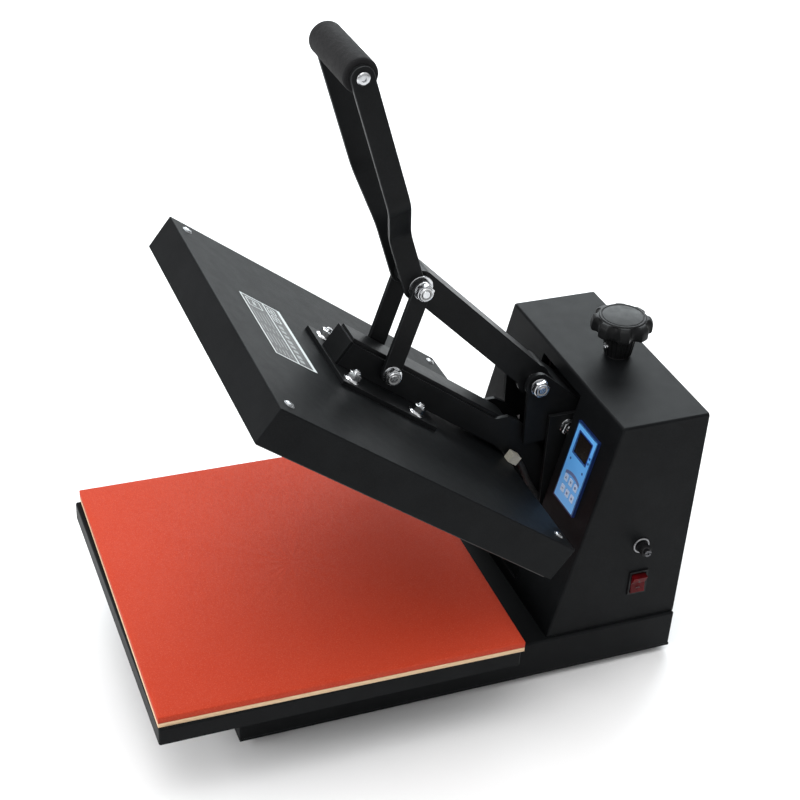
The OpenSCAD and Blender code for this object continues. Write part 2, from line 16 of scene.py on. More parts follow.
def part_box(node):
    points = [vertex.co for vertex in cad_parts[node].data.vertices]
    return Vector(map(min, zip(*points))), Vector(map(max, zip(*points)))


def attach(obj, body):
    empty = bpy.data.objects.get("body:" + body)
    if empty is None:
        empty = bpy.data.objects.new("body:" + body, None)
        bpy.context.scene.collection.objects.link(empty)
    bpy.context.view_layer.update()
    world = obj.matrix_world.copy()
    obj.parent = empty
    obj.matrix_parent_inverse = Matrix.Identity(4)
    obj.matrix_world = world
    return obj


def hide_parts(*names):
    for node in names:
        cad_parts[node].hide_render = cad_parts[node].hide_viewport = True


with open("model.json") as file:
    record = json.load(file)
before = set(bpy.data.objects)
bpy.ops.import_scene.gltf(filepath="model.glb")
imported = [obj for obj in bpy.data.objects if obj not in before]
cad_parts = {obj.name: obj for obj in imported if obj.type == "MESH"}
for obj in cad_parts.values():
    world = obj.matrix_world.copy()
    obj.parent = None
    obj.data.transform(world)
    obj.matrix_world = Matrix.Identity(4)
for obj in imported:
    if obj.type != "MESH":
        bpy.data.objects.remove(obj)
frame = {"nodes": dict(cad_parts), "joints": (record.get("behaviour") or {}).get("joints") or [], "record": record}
log = logging.getLogger("heat_press")

MM = 0.001
Point2 = tuple[float, float]
Colour = tuple[float, float, float]


# ---------------------------------------------------------------------------
# Finishes
# ---------------------------------------------------------------------------


class Graph:
    """A material's node tree with short calls for the nodes the finishes use."""

    def __init__(self, name: str) -> None:
        """Start an empty material.

        Args:
            name: The material's name.
        """
        self.material = bpy.data.materials.new(name)
        self.material.use_nodes = True
        self.tree = self.material.node_tree
        self.tree.nodes.clear()
        self.out = self.tree.nodes.new("ShaderNodeOutputMaterial")
        self.shader = self.tree.nodes.new("ShaderNodeBsdfPrincipled")
        self.tree.links.new(self.shader.outputs[0], self.out.inputs["Surface"])
        self.coords = self.tree.nodes.new("ShaderNodeTexCoord").outputs["Object"]

    def link(self, source: bpy.types.NodeSocket, target: bpy.types.NodeSocket) -> None:
        """Join an output to an input.

        Args:
            source: The output.
            target: The input.
        """
        self.tree.links.new(source, target)

    def stretched(self, scale: tuple[float, float, float]) -> bpy.types.NodeSocket:
        """Return the object coordinates scaled along each axis."""
        node = self.tree.nodes.new("ShaderNodeMapping")
        node.inputs["Scale"].default_value = scale
        self.link(self.coords, node.inputs["Vector"])
        return node.outputs[0]

    def noise(
        self,
        scale: float,
        detail: float = 3.0,
        rough: float = 0.55,
        where: bpy.types.NodeSocket | None = None,
    ) -> bpy.types.NodeSocket:
        """Return a noise value.

        Args:
            scale: Features per metre.
            detail: Octaves.
            rough: Strength of the finer octaves.
            where: Coordinates, or the object's own when left out.

        Returns:
            The noise's value socket.
        """
        node = self.tree.nodes.new("ShaderNodeTexNoise")
        node.inputs["Scale"].default_value = scale
        node.inputs["Detail"].default_value = detail
        node.inputs["Roughness"].default_value = rough
        self.link(where or self.coords, node.inputs["Vector"])
        return node.outputs[0]

    def cells(self, scale: float, edge: bool = False) -> bpy.types.NodeSocket:
        """Return a cell pattern's distances.

        Args:
            scale: Cells per metre.
            edge: Whether to measure to the cells' edges, not to their middles.

        Returns:
            The distance socket.
        """
        node = self.tree.nodes.new("ShaderNodeTexVoronoi")
        node.inputs["Scale"].default_value = scale
        if edge:
            node.feature = "DISTANCE_TO_EDGE"
        self.link(self.coords, node.inputs["Vector"])
        return node.outputs[0]

    def spread(
        self, value: bpy.types.NodeSocket, low: float, high: float, start: float = 0.3, end: float = 0.7
    ) -> bpy.types.NodeSocket:
        """Map a value to a new range, held at both ends.

        Args:
            value: The value socket.
            low: Result at the range's start.
            high: Result at its end.
            start: Where the incoming range starts.
            end: Where it ends.

        Returns:
            The mapped socket.
        """
        node = self.tree.nodes.new("ShaderNodeMapRange")
        node.inputs["From Min"].default_value = start
        node.inputs["From Max"].default_value = end
        node.inputs["To Min"].default_value = low
        node.inputs["To Max"].default_value = high
        self.link(value, node.inputs["Value"])
        return node.outputs[0]

    def blend(
        self, factor: bpy.types.NodeSocket, first: "Colour | bpy.types.NodeSocket", second: Colour
    ) -> bpy.types.NodeSocket:
        """Return a colour between two colours.

        Args:
            factor: Share of the second colour.
            first: The first colour, or a socket that gives it.
            second: The second colour.

        Returns:
            The colour socket.
        """
        node = self.tree.nodes.new("ShaderNodeMix")
        node.data_type = "RGBA"
        if isinstance(first, tuple):
            node.inputs[6].default_value = (*first, 1)
        else:
            self.link(first, node.inputs[6])
        node.inputs[7].default_value = (*second, 1)
        self.link(factor, node.inputs[0])
        return node.outputs[2]

    def relief(
        self, height: bpy.types.NodeSocket, depth: float, strength: float = 1.0,
        under: bpy.types.NodeSocket | None = None,
    ) -> bpy.types.NodeSocket:
        """Return a bumped normal.

        Args:
            height: The height value.
            depth: Height in metres for a value of one.
            strength: Share of the effect.
            under: A normal that this one adds to.

        Returns:
            The normal socket.
        """
        node = self.tree.nodes.new("ShaderNodeBump")
        node.inputs["Distance"].default_value = depth
        node.inputs["Strength"].default_value = strength
        self.link(height, node.inputs["Height"])
        if under is not None:
            self.link(under, node.inputs["Normal"])
        return node.outputs[0]

    def set(self, **values: float | tuple[float, ...]) -> None:
        """Set constants on the shader by name, with spaces written as underscores."""
        for key, value in values.items():
            self.shader.inputs[key.replace("_", " ")].default_value = value

    def drive(self, **sockets: bpy.types.NodeSocket) -> None:
        """Link sockets to the shader's inputs by name."""
        for key, socket in sockets.items():
            self.link(socket, self.shader.inputs[key.replace("_", " ")])


_made: dict[str, bpy.types.Material] = {}


@dataclass(frozen=True)
class Finish:
    """A surface finish. Each kind fills its own node tree once."""

    name: str

    def material(self) -> bpy.types.Material:
        """Return this finish's material, made on first use."""
        if self.name not in _made:
            graph = Graph(self.name)
            self.paint(graph)
            _made[self.name] = graph.material
        return _made[self.name]

    def rim(self) -> "Finish | None":
        """Return the finish of this one's softened edges, where it differs."""
        return None

    def paint(self, graph: Graph) -> None:
        """Fill the node tree."""
        raise NotImplementedError


@dataclass(frozen=True)
class PowderCoat(Finish):
    """Satin powder paint with a fine skin and lighter edges: partly rubbed paint, partly painted highlight."""

    dark: Colour = (0.0038, 0.0042, 0.0047)
    light: Colour = (0.0060, 0.0066, 0.0072)
    # Lighter colour for the fine specks and for the edges, where it is partly rubbed paint and partly painted
    # highlight.
    edge: Colour = (0.030, 0.032, 0.034)
    roughness: float = 0.47
    gloss: float = 0.06
    # Share of the edge colour laid over the surface: rubbed paint and painted highlight.
    rub_and_highlight: float = 0.0

    def rim(self) -> "Finish | None":
        """Return this paint for its edges: lighter, partly as rubbed paint and partly as painted highlight."""
        smoother, glossier = self.roughness - 0.08, self.gloss + 0.1
        return replace(self, name=self.name + "_edge", rub_and_highlight=0.8, roughness=smoother, gloss=glossier)

    def paint(self, graph: Graph) -> None:
        """Fill the node tree."""
        tone = graph.blend(graph.spread(graph.noise(26, 5), 0, 1), self.dark, self.light)
        speck = graph.blend(graph.spread(graph.noise(2200, 2), 0, 0.4, 0.55, 0.75), tone, self.edge)
        # Edge colour laid over the surface for the edges: partly rubbed paint, partly painted highlight.
        worn = graph.blend(graph.spread(graph.noise(160, 4), 0.2 * self.rub_and_highlight, self.rub_and_highlight), speck, self.edge)
        rough = graph.spread(graph.noise(70, 4), self.roughness - 0.02, self.roughness + 0.03)
        skin = graph.relief(graph.noise(1500, 2, 0.6), 0.00010, 0.5)
        wave = graph.relief(graph.noise(320, 2), 0.00003, 0.1, skin)
        graph.drive(Base_Color=worn, Roughness=rough, Normal=wave)
        graph.set(Specular_IOR_Level=self.gloss)


@dataclass(frozen=True)
class Metal(Finish):
    """Plated, ground or cast metal."""

    light: Colour = (0.80, 0.81, 0.83)
    dark: Colour = (0.62, 0.63, 0.66)
    roughness: float = 0.22
    grain: float = 900.0
    streak: tuple[float, float, float] = (1.0, 1.0, 1.0)
    depth: float = 0.00003

    def paint(self, graph: Graph) -> None:
        """Fill the node tree."""
        where = graph.stretched(self.streak)
        tone = graph.blend(graph.spread(graph.noise(240, 4, where=where), 0, 1), self.light, self.dark)
        rough = graph.spread(
            graph.noise(self.grain, 3, where=where), self.roughness - 0.06, self.roughness + 0.12,
        )
        scratch = graph.relief(graph.noise(self.grain * 1.6, 3, 0.7, where), self.depth, 0.5)
        graph.drive(Base_Color=tone, Roughness=rough, Normal=scratch)
        graph.set(Metallic=1.0)


@dataclass(frozen=True)
class Foam(Finish):
    """Closed-cell foam or sponge: tiny pores with painted shade in them, and speckles in a soft sheet."""

    base: Colour = (0.42, 0.033, 0.0095)
    pale: Colour = (0.49, 0.072, 0.032)
    # Painted shade in the pores.
    pore_shade: Colour = (0.29, 0.020, 0.008)
    pores: float = 900.0
    roughness: float = 0.66
    depth: float = 0.0003
    cloud: float = 0.12
    fleck: float = 0.75

    def paint(self, graph: Graph) -> None:
        """Fill the node tree."""
        broad = graph.blend(graph.spread(graph.noise(9, 3), 0, self.cloud), self.base, self.pale)
        flecks = graph.spread(graph.noise(self.pores * 0.8, 3), 0, self.fleck, 0.52, 0.70)
        grain = graph.blend(flecks, broad, self.pale)
        # Darker at each cell's middle, where the bumps dip: painted shade in the pores.
        shaded_pores = graph.blend(graph.spread(graph.cells(self.pores), 0.6, 0, 0.05, 0.42), grain, self.pore_shade)
        rough = graph.spread(graph.noise(240, 3), self.roughness - 0.05, self.roughness + 0.1)
        bumps = graph.relief(graph.cells(self.pores), self.depth, 0.55)
        wave = graph.relief(graph.noise(22, 3), 0.0006, 0.25, bumps)
        graph.drive(Base_Color=shaded_pores, Roughness=rough, Normal=wave)
        graph.set(Specular_IOR_Level=0.18, Sheen_Weight=0.03, Sheen_Roughness=0.5)


@dataclass(frozen=True)
class Plastic(Finish):
    """Moulded plastic with a faint texture and handling marks."""

    base: Colour = (0.012, 0.012, 0.013)
    worn: Colour = (0.030, 0.030, 0.032)
    roughness: float = 0.28
    texture: float = 1300.0
    depth: float = 0.00004
    coat: float = 0.0
    clear: float = 0.0
    gloss: float = 0.5

    def paint(self, graph: Graph) -> None:
        """Fill the node tree."""
        tone = graph.blend(graph.spread(graph.noise(60, 4), 0, 0.7), self.base, self.worn)
        scuffs = graph.blend(graph.spread(graph.noise(420, 4), 0, 0.35, 0.6, 0.75), tone, self.worn)
        rough = graph.spread(graph.noise(130, 4), self.roughness - 0.05, self.roughness + 0.09)
        skin = graph.relief(graph.noise(self.texture, 2), self.depth, 0.6)
        graph.drive(Base_Color=scuffs, Roughness=rough, Normal=skin)
        graph.set(
            Coat_Weight=self.coat, Coat_Roughness=0.08, Transmission_Weight=self.clear, Specular_IOR_Level=self.gloss,
        )


@dataclass(frozen=True)
class Film(Finish):
    """Printed membrane film with a fine emboss and a soft fade across it."""

    base: Colour = (0.10, 0.30, 0.78)
    fade: Colour = (0.22, 0.46, 0.92)
    roughness: float = 0.36

    def paint(self, graph: Graph) -> None:
        """Fill the node tree."""
        broad = graph.spread(graph.noise(16, 2), 0, 1)
        tone = graph.blend(broad, self.base, self.fade)
        emboss = graph.relief(graph.noise(2600, 2), 0.00004, 0.6)
        rough = graph.spread(graph.noise(500, 3), self.roughness - 0.05, self.roughness + 0.08)
        graph.drive(Base_Color=tone, Roughness=rough, Normal=emboss)
        graph.set(Specular_IOR_Level=0.45)


@dataclass(frozen=True)
class Board(Finish):
    """Pressed mineral or fibre sheet with short strands."""

    base: Colour = (0.66, 0.55, 0.38)
    strand: Colour = (0.80, 0.72, 0.56)
    roughness: float = 0.85

    def paint(self, graph: Graph) -> None:
        """Fill the node tree."""
        strands = graph.noise(420, 4, 0.7, graph.stretched((1.0, 0.25, 2.5)))
        tone = graph.blend(graph.spread(strands, 0, 1, 0.35, 0.65), self.base, self.strand)
        rough = graph.spread(graph.noise(300, 3), self.roughness - 0.08, self.roughness + 0.05)
        graph.drive(Base_Color=tone, Roughness=rough, Normal=graph.relief(strands, 0.0002, 0.6))


@dataclass(frozen=True)
class Braid(Finish):
    """Woven sleeve or wire insulation."""

    base: Colour = (0.012, 0.012, 0.013)
    thread: Colour = (0.055, 0.055, 0.058)

    def paint(self, graph: Graph) -> None:
        """Fill the node tree."""
        weave = graph.cells(1500)
        tone = graph.blend(graph.spread(weave, 0, 1, 0.1, 0.5), self.thread, self.base)
        rough = graph.spread(graph.noise(500, 2), 0.55, 0.75)
        graph.drive(Base_Color=tone, Roughness=rough, Normal=graph.relief(weave, 0.0004, 0.8))


@dataclass(frozen=True)
class Backdrop(Finish):
    """Plain pale floor with the faintest unevenness."""

    base: Colour = (0.86, 0.86, 0.86)
    dusk: Colour = (0.83, 0.83, 0.835)

    def paint(self, graph: Graph) -> None:
        """Fill the node tree."""
        tone = graph.blend(graph.spread(graph.noise(3, 3), 0, 1), self.base, self.dusk)
        graph.drive(Base_Color=tone, Roughness=graph.spread(graph.noise(40, 3), 0.7, 0.8))


STEEL = PowderCoat("black_powder_coat")
PLATE_STEEL = PowderCoat(
    "black_satin_plate", (0.0045, 0.0049, 0.0053), (0.0075, 0.0080, 0.0086), (0.035, 0.037, 0.039),
    roughness=0.38, gloss=0.08,
)
OXIDE = PowderCoat(
    "black_oxide", (0.010, 0.010, 0.011), (0.016, 0.016, 0.017), (0.06, 0.06, 0.06), roughness=0.34, gloss=0.5,
)
NON_STICK = PowderCoat(
    "non_stick_coat", (0.020, 0.019, 0.018), (0.028, 0.027, 0.026), (0.05, 0.048, 0.046), roughness=0.32,
    gloss=0.3,
)
ZINC = Metal("bright_zinc", (0.64, 0.65, 0.66), (0.50, 0.51, 0.53), 0.17, depth=0.00001)
SCREW_STEEL = Metal("screw_steel", (0.46, 0.47, 0.48), (0.32, 0.33, 0.34), 0.24)
DULL_RING = Metal("dull_nickel", (0.34, 0.34, 0.35), (0.22, 0.22, 0.23), 0.34)
CHROME = Metal("polished_steel", (0.80, 0.81, 0.82), (0.68, 0.69, 0.71), 0.12, depth=0.00001)
GROUND = Metal("ground_steel", (0.62, 0.62, 0.63), (0.48, 0.48, 0.49), 0.30)
DARK_TIP = Metal("blackened_tip", (0.10, 0.10, 0.105), (0.06, 0.06, 0.065), 0.34)
BRONZE = Metal("bearing_bronze", (0.68, 0.46, 0.22), (0.52, 0.34, 0.16), 0.32)
PAD_RED = Foam("silicone_foam_red")
PAD_UNDER = Board("underlay_felt", (0.60, 0.40, 0.23), (0.70, 0.52, 0.34))
GRIP_FOAM = Foam(
    "grip_foam", (0.007, 0.007, 0.0077), (0.015, 0.015, 0.016), (0.005, 0.005, 0.005), pores=1100.0,
    roughness=0.86, depth=0.0004,
)
RUBBER = Foam(
    "foot_rubber", (0.016, 0.016, 0.016), (0.028, 0.028, 0.028), (0.010, 0.010, 0.010), pores=1500.0,
    roughness=0.75, depth=0.0001,
)
KNOB_BLACK = Plastic("knob_plastic", (0.007, 0.0073, 0.0078), (0.014, 0.0145, 0.015), 0.38, gloss=0.10)
BLACK_PLASTIC = Plastic("moulded_black", (0.004, 0.004, 0.0044), (0.008, 0.008, 0.009), 0.40, gloss=0.15)
RED_LENS = Plastic("red_lens", (0.042, 0.0014, 0.0024), (0.120, 0.003, 0.005), 0.36, 700.0, 0.00002, gloss=0.10)
NYLON = Plastic("nylon_ring", (0.30, 0.30, 0.30), (0.42, 0.42, 0.42), 0.4)
PANEL_SIDE = Plastic("panel_edge_blue", (0.003, 0.014, 0.075), (0.006, 0.024, 0.11), 0.35, 900.0, 0.00003)
PANEL_FILM = Film("panel_film", (0.10, 0.40, 0.92), (0.17, 0.52, 1.0))
PANEL_BAND = Film("panel_band", (0.11, 0.16, 0.34), (0.14, 0.19, 0.38))
PANEL_DOT = Film("panel_dot", (0.01, 0.03, 0.20), (0.02, 0.05, 0.26))
KEY_FILM = Film("key_film", (0.46, 0.64, 0.92), (0.56, 0.72, 0.95))
WINDOW = Plastic("window_tint", (0.010, 0.008, 0.007), (0.016, 0.012, 0.010), 0.2, 400.0, 0.00001, gloss=0.25)
PRINT_WHITE = Film("print_white", (0.48, 0.52, 0.52), (0.58, 0.62, 0.62), 0.5)
PRINT_GREY = Film("print_grey", (0.20, 0.22, 0.22), (0.28, 0.30, 0.30), 0.5)
LABEL_GREY = Film("label_grey", (0.022, 0.023, 0.024), (0.030, 0.031, 0.032), 0.42)
CERAMIC = Board("ceramic_block", (0.34, 0.325, 0.27), (0.44, 0.42, 0.36), 0.6)
MINERAL = Board("mineral_board")
SLEEVE = Braid("glass_sleeve", (0.004, 0.004, 0.0045), (0.014, 0.014, 0.015))
WIRE = Braid("wire_sleeve", (0.03, 0.008, 0.008), (0.06, 0.015, 0.015))
CIRCUIT = Plastic("circuit_board", (0.01, 0.09, 0.035), (0.02, 0.15, 0.06), 0.35)
RELAY = Plastic("relay_case", (0.55, 0.53, 0.46), (0.63, 0.61, 0.54), 0.45)
FLOOR = Backdrop("studio_floor")


# ---------------------------------------------------------------------------
# Places in the machine
# ---------------------------------------------------------------------------


def joint(name: str) -> dict:
    """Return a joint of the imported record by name."""
    return next(j for j in frame["joints"] if j["name"] == name)


def middle(node: str) -> Vector:
    """Return the middle of a node's box, in millimetres."""
    low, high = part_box(node)
    return (low + high) / 2 / MM


def body_of_node(node: str) -> str:
    """Return the body that holds a node."""
    groups = frame["record"]["behaviour"]["bodies"]
    return next(body for body, nodes in groups.items() if node in nodes)


def turned(y: float, z: float, degrees: float) -> Matrix:
    """Return a place in the middle plane, turned about X.

    Args:
        y: Its Y, in millimetres.
        z: Its Z, in millimetres.
        degrees: The turn.

    Returns:
        The place.
    """
    return Matrix.Translation((0, y, z)) @ Matrix.Rotation(math.radians(degrees), 4, "X")


@dataclass(frozen=True)
class Layout:
    """Frames of the machine's parts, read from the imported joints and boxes."""

    hinge: Vector
    crank: Vector
    knee: Vector
    foot: Vector
    open_angle: float

    @classmethod
    def read(cls) -> "Layout":
        """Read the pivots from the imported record."""
        return cls(
            hinge=Vector(joint("platen_hinge")["pos_m"]) / MM,
            crank=Vector(joint("handle_pivot")["pos_m"]) / MM,
            knee=middle("toggle_pin"),
            foot=Vector(joint("link_pivot")["pos_m"]) / MM,
            open_angle=float(joint("platen_hinge")["range_deg"][1]),
        )

    def platen(self) -> Matrix:
        """Return the turn from the closed platen layout to the open one."""
        there = Matrix.Translation(self.hinge)
        return there @ Matrix.Rotation(math.radians(-self.open_angle), 4, "X") @ there.inverted()

    def handle(self) -> Matrix:
        """Return the handle's frame: knee at the origin, handle along +Z."""
        tube = middle("grip_tube")
        reach = tube - self.knee
        lean = math.degrees(math.atan2(-reach.y, reach.z)) - math.degrees(math.atan2(5.4, 255))
        return turned(self.knee.y, self.knee.z, lean)

    def front(self) -> Matrix:
        """Return the plane of the column's sloping front: +Z up the slope, +Y inward."""
        low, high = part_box("column_housing")
        axis = Vector(joint("key_1_press")["axis"])
        lean = math.degrees(math.atan2(-axis.z, axis.y))
        return turned(low.y / MM, low.z / MM, -lean)


PLACE = Layout.read()
SIDES = (1, -1)


def spun(place: Matrix, degrees: float, axis: str = "Z") -> Matrix:
    """Return a place turned about one of its own axes.

    Args:
        place: The place.
        degrees: The turn.
        axis: Name of the axis.

    Returns:
        The turned place.
    """
    return place @ Matrix.Rotation(math.radians(degrees), 4, axis)


def facing_x(y: float, z: float, x: float, side: int = 1) -> Matrix:
    """Return a place whose +Z points out of one side of the machine.

    Args:
        y: Its Y, in millimetres.
        z: Its Z, in millimetres.
        x: Its distance from the middle plane.
        side: 1 for the right side, -1 for the left.

    Returns:
        The place.
    """
    return spun(Matrix.Translation((side * x, y, z)), 90 * side, "Y")


# ---------------------------------------------------------------------------
# Mesh making
# ---------------------------------------------------------------------------


def arc(cx: float, cy: float, r: float, start: float, end: float, steps: int = 12) -> list[Point2]:
    """Return points along an arc, both ends included.

    Args:
        cx: Middle's X.
        cy: Middle's Y.
        r: Radius.
        start: First angle, in degrees.
        end: Last angle, in degrees.
        steps: Parts the arc is cut into.

    Returns:
        The points.
    """
    return [
        (cx + r * math.cos(math.radians(start + (end - start) * i / steps)),
         cy + r * math.sin(math.radians(start + (end - start) * i / steps)))
        for i in range(steps + 1)
    ]


def round_rect(x0: float, y0: float, x1: float, y1: float, r: float, steps: int = 5) -> list[Point2]:
    """Return a rectangle's outline with rounded corners.

    Args:
        x0: Left.
        y0: Bottom.
        x1: Right.
        y1: Top.
        r: Radius of the corners.
        steps: Parts each corner is cut into.

    Returns:
        The points, anticlockwise.
    """
    return (
        arc(x1 - r, y0 + r, r, -90, 0, steps) + arc(x1 - r, y1 - r, r, 0, 90, steps)
        + arc(x0 + r, y1 - r, r, 90, 180, steps) + arc(x0 + r, y0 + r, r, 180, 270, steps)
    )


def frame_round(x: Point2, y: Point2, grow: float, r: float, steps: int = 3) -> list[Point2]:
    """Return a rounded outline that stands off a box on every side.

    Args:
        x: The box's left and right.
        y: Its bottom and top.
        grow: How far the outline stands off.
        r: Radius of the corners.
        steps: Parts each corner is cut into.

    Returns:
        The points, anticlockwise.
    """
    return round_rect(x[0] - grow, y[0] - grow, x[1] + grow, y[1] + grow, r, steps)


def circle(cx: float, cy: float, r: float, steps: int = 32) -> list[Point2]:
    """Return a circle's outline.

    Args:
        cx: Middle's X.
        cy: Middle's Y.
        r: Radius.
        steps: Number of points.

    Returns:
        The points, anticlockwise.
    """
    return arc(cx, cy, r, 0, 360, steps)[:-1]


def polar(place: Matrix, steps: int, radius: Callable[[float], float], z: float) -> list[Vector]:
    """Return a ring of points round a place's axis.

    Args:
        place: The place.
        steps: Number of points.
        radius: Radius at an angle in radians.
        z: Height.

    Returns:
        The points.
    """
    angles = [2 * math.pi * i / steps for i in range(steps)]
    return [place @ Vector((radius(a) * math.cos(a), radius(a) * math.sin(a), z)) for a in angles]


def rod(r: float, length: float) -> list[Point2]:
    """Return the profile of a plain rod.

    Args:
        r: Radius.
        length: Length, up from the place.

    Returns:
        The profile, for a lathe.
    """
    return [(0, 0), (r, 0), (r, length), (0, length)]


def fillet(points: Sequence[Point2], r: float, steps: int = 6) -> list[Point2]:
    """Round the inner corners of an open line.

    Args:
        points: The line's corners.
        r: How far before and after each corner the bend starts.
        steps: Points along each bend.

    Returns:
        The line with its corners rounded.
    """
    line = [points[0]]
    for a, b, c in zip(points, points[1:], points[2:]):
        pa, pb, pc = Vector(a), Vector(b), Vector(c)
        start = pb + (pa - pb).normalized() * r
        end = pb + (pc - pb).normalized() * r
        for i in range(steps + 1):
            t = i / steps
            p = start * (1 - t) ** 2 + pb * 2 * t * (1 - t) + end * t * t
            line.append((p.x, p.y))
    return line + [points[-1]]


class Forge:
    """Collects shapes in millimetres into one piece, each shape with its finish."""

    def __init__(self, name: str) -> None:
        """Start an empty piece.

        Args:
            name: The piece's name.
        """
        self.name = name
        self.bm = bmesh.new()
        self.finishes: list[Finish] = []

    def _index(self, finish: Finish) -> int:
        """Return the finish's place in the piece's list, added when new."""
        if finish not in self.finishes:
            self.finishes.append(finish)
        return self.finishes.index(finish)

    def grid(self, rings: list[list[Vector]], finish: Finish, close: bool, caps: bool) -> None:
        """Skin a list of equal rings.

        Args:
            rings: The rings, each with the same number of points.
            finish: The surface finish.
            close: Whether the last ring joins the first.
            caps: Whether both ends are covered.
        """
        index = self._index(finish)
        rows = [[self.bm.verts.new(p) for p in ring] for ring in rings]
        count = len(rows[0])
        pairs = list(zip(rows, rows[1:])) + ([(rows[-1], rows[0])] if close else [])
        for low, high in pairs:
            for i in range(count):
                j = (i + 1) % count
                self.bm.faces.new((low[i], low[j], high[j], high[i])).material_index = index
        if caps:
            self.bm.faces.new(reversed(rows[0])).material_index = index
            self.bm.faces.new(rows[-1]).material_index = index

    def lathe(
        self, profile: Sequence[Point2], place: Matrix, finish: Finish, steps: int = 48
    ) -> None:
        """Turn a profile of (radius, height) about the place's Z axis.

        Args:
            profile: The line to turn, from the low end to the high end.
            place: Where its axis stands.
            finish: The surface finish.
            steps: Sides round the axis.
        """
        closed = profile[0][0] > 0 and profile[0] == profile[-1]
        line = profile[:-1] if closed else profile
        rings = [polar(place, steps, lambda a, r=r: max(r, 1e-4), h) for r, h in line]
        self.grid(rings, finish, closed, not closed)

    def hexagon(
        self, flats: float, height: float, place: Matrix, finish: Finish, bore: float = 0.0
    ) -> None:
        """Add a hexagonal nut or head with its corners chamfered on top.

        Args:
            flats: Size across the flats.
            height: Height.
            place: Where it stands, with its top towards +Z.
            finish: The surface finish.
            bore: Radius of the dished middle.
        """
        half = flats / 2
        crest = half * 0.96
        steps = 72

        def ring(limit: float, z: Callable[[float], float]) -> list[Vector]:
            """Return one ring of the hexagon.

            Args:
                limit: Radius that cuts its corners off.
                z: Height of a point, from its radius.

            Returns:
                The ring's points.
            """
            points = []
            for i in range(steps):
                a = 360 * i / steps
                edge = half / math.cos(math.radians((a + 30) % 60 - 30))
                r = min(edge, limit)
                points.append(place @ Vector((r * math.cos(math.radians(a)), r * math.sin(math.radians(a)), z(r))))
            return points

        slope = math.tan(math.radians(30))
        rings = [
            ring(crest, lambda r: 0.0),
            ring(99, lambda r: max(0.0, (r - crest) * slope)),
            ring(99, lambda r: height - max(0.0, (r - crest) * slope)),
            ring(crest, lambda r: height),
        ]
        if bore:
            rings += [ring(bore + 0.6, lambda r: height), ring(bore, lambda r: height - 0.6)]
        self.grid(rings, finish, False, True)

    def prism(
        self,
        outline: Sequence[Point2],
        depth: float,
        place: Matrix,
        finish: Finish,
        holes: Iterable[Sequence[Point2]] = (),
    ) -> None:
        """Raise a flat outline with holes along the place's +Z.

        Args:
            outline: Corners, anticlockwise, in the place's XY plane.
            depth: Thickness.
            place: Where the outline lies.
            finish: The surface finish.
            holes: Outlines of the holes.
        """
        index = self._index(finish)
        loops = [list(outline), *[list(h) for h in holes]]
        flat = [Vector((x, y, 0)) for loop in loops for x, y in loop]
        low = [self.bm.verts.new(place @ p) for p in flat]
        high = [self.bm.verts.new(place @ (p + Vector((0, 0, depth)))) for p in flat]
        caps = []
        for tri in tessellate_polygon([[Vector((x, y, 0)) for x, y in loop] for loop in loops]):
            caps.append(self.bm.faces.new([high[i] for i in tri]))
            caps.append(self.bm.faces.new([low[i] for i in tri]))
        start = 0
        for loop in loops:
            for i in range(len(loop)):
                a, b = start + i, start + (i + 1) % len(loop)
                caps.append(self.bm.faces.new((low[a], low[b], high[b], high[a])))
            start += len(loop)
        for face in caps:
            face.material_index = index
        bmesh.ops.recalc_face_normals(self.bm, faces=caps)
        bmesh.ops.dissolve_limit(
            self.bm, angle_limit=0.01, verts=low + high,
            edges=list({e for v in low + high for e in v.link_edges}),
        )

    def copy_node(self, node: str, finish: Finish, fold: float = 0.0, segments: int = 4) -> None:
        """Take a node's own shape, with its flat faces whole and its folds rounded.

        Args:
            node: The node.
            finish: The surface finish.
            fold: Radius, in millimetres, given to the outside folds of sheet metal.
            segments: Steps round each fold.
        """
        index = self._index(finish)
        part = bmesh.new()
        part.from_mesh(frame["nodes"][node].data)
        bmesh.ops.remove_doubles(part, verts=part.verts, dist=2e-6)
        bmesh.ops.dissolve_limit(part, angle_limit=0.012, verts=part.verts, edges=part.edges)
        bmesh.ops.recalc_face_normals(part, faces=part.faces)
        if fold:
            wide = {f: 2 * f.calc_area() / max(f.calc_perimeter(), 1e-9) for f in part.faces}
            folds = [
                e for e in part.edges
                if len(e.link_faces) == 2 and e.is_convex and e.calc_face_angle() > 0.8
                and min(wide[f] for f in e.link_faces) > max(4.0, fold) * MM
                and e.calc_length() > 3 * fold * MM
            ]
            bmesh.ops.bevel(
                part, geom=folds, offset=fold * MM, offset_type="OFFSET", segments=segments,
                profile=0.5, affect="EDGES", clamp_overlap=True,
            )
        bmesh.ops.scale(part, vec=(1 / MM,) * 3, verts=part.verts)
        for face in part.faces:
            face.material_index = index
        mesh = bpy.data.meshes.new("part")
        part.to_mesh(mesh)
        part.free()
        self.bm.from_mesh(mesh)
        bpy.data.meshes.remove(mesh)

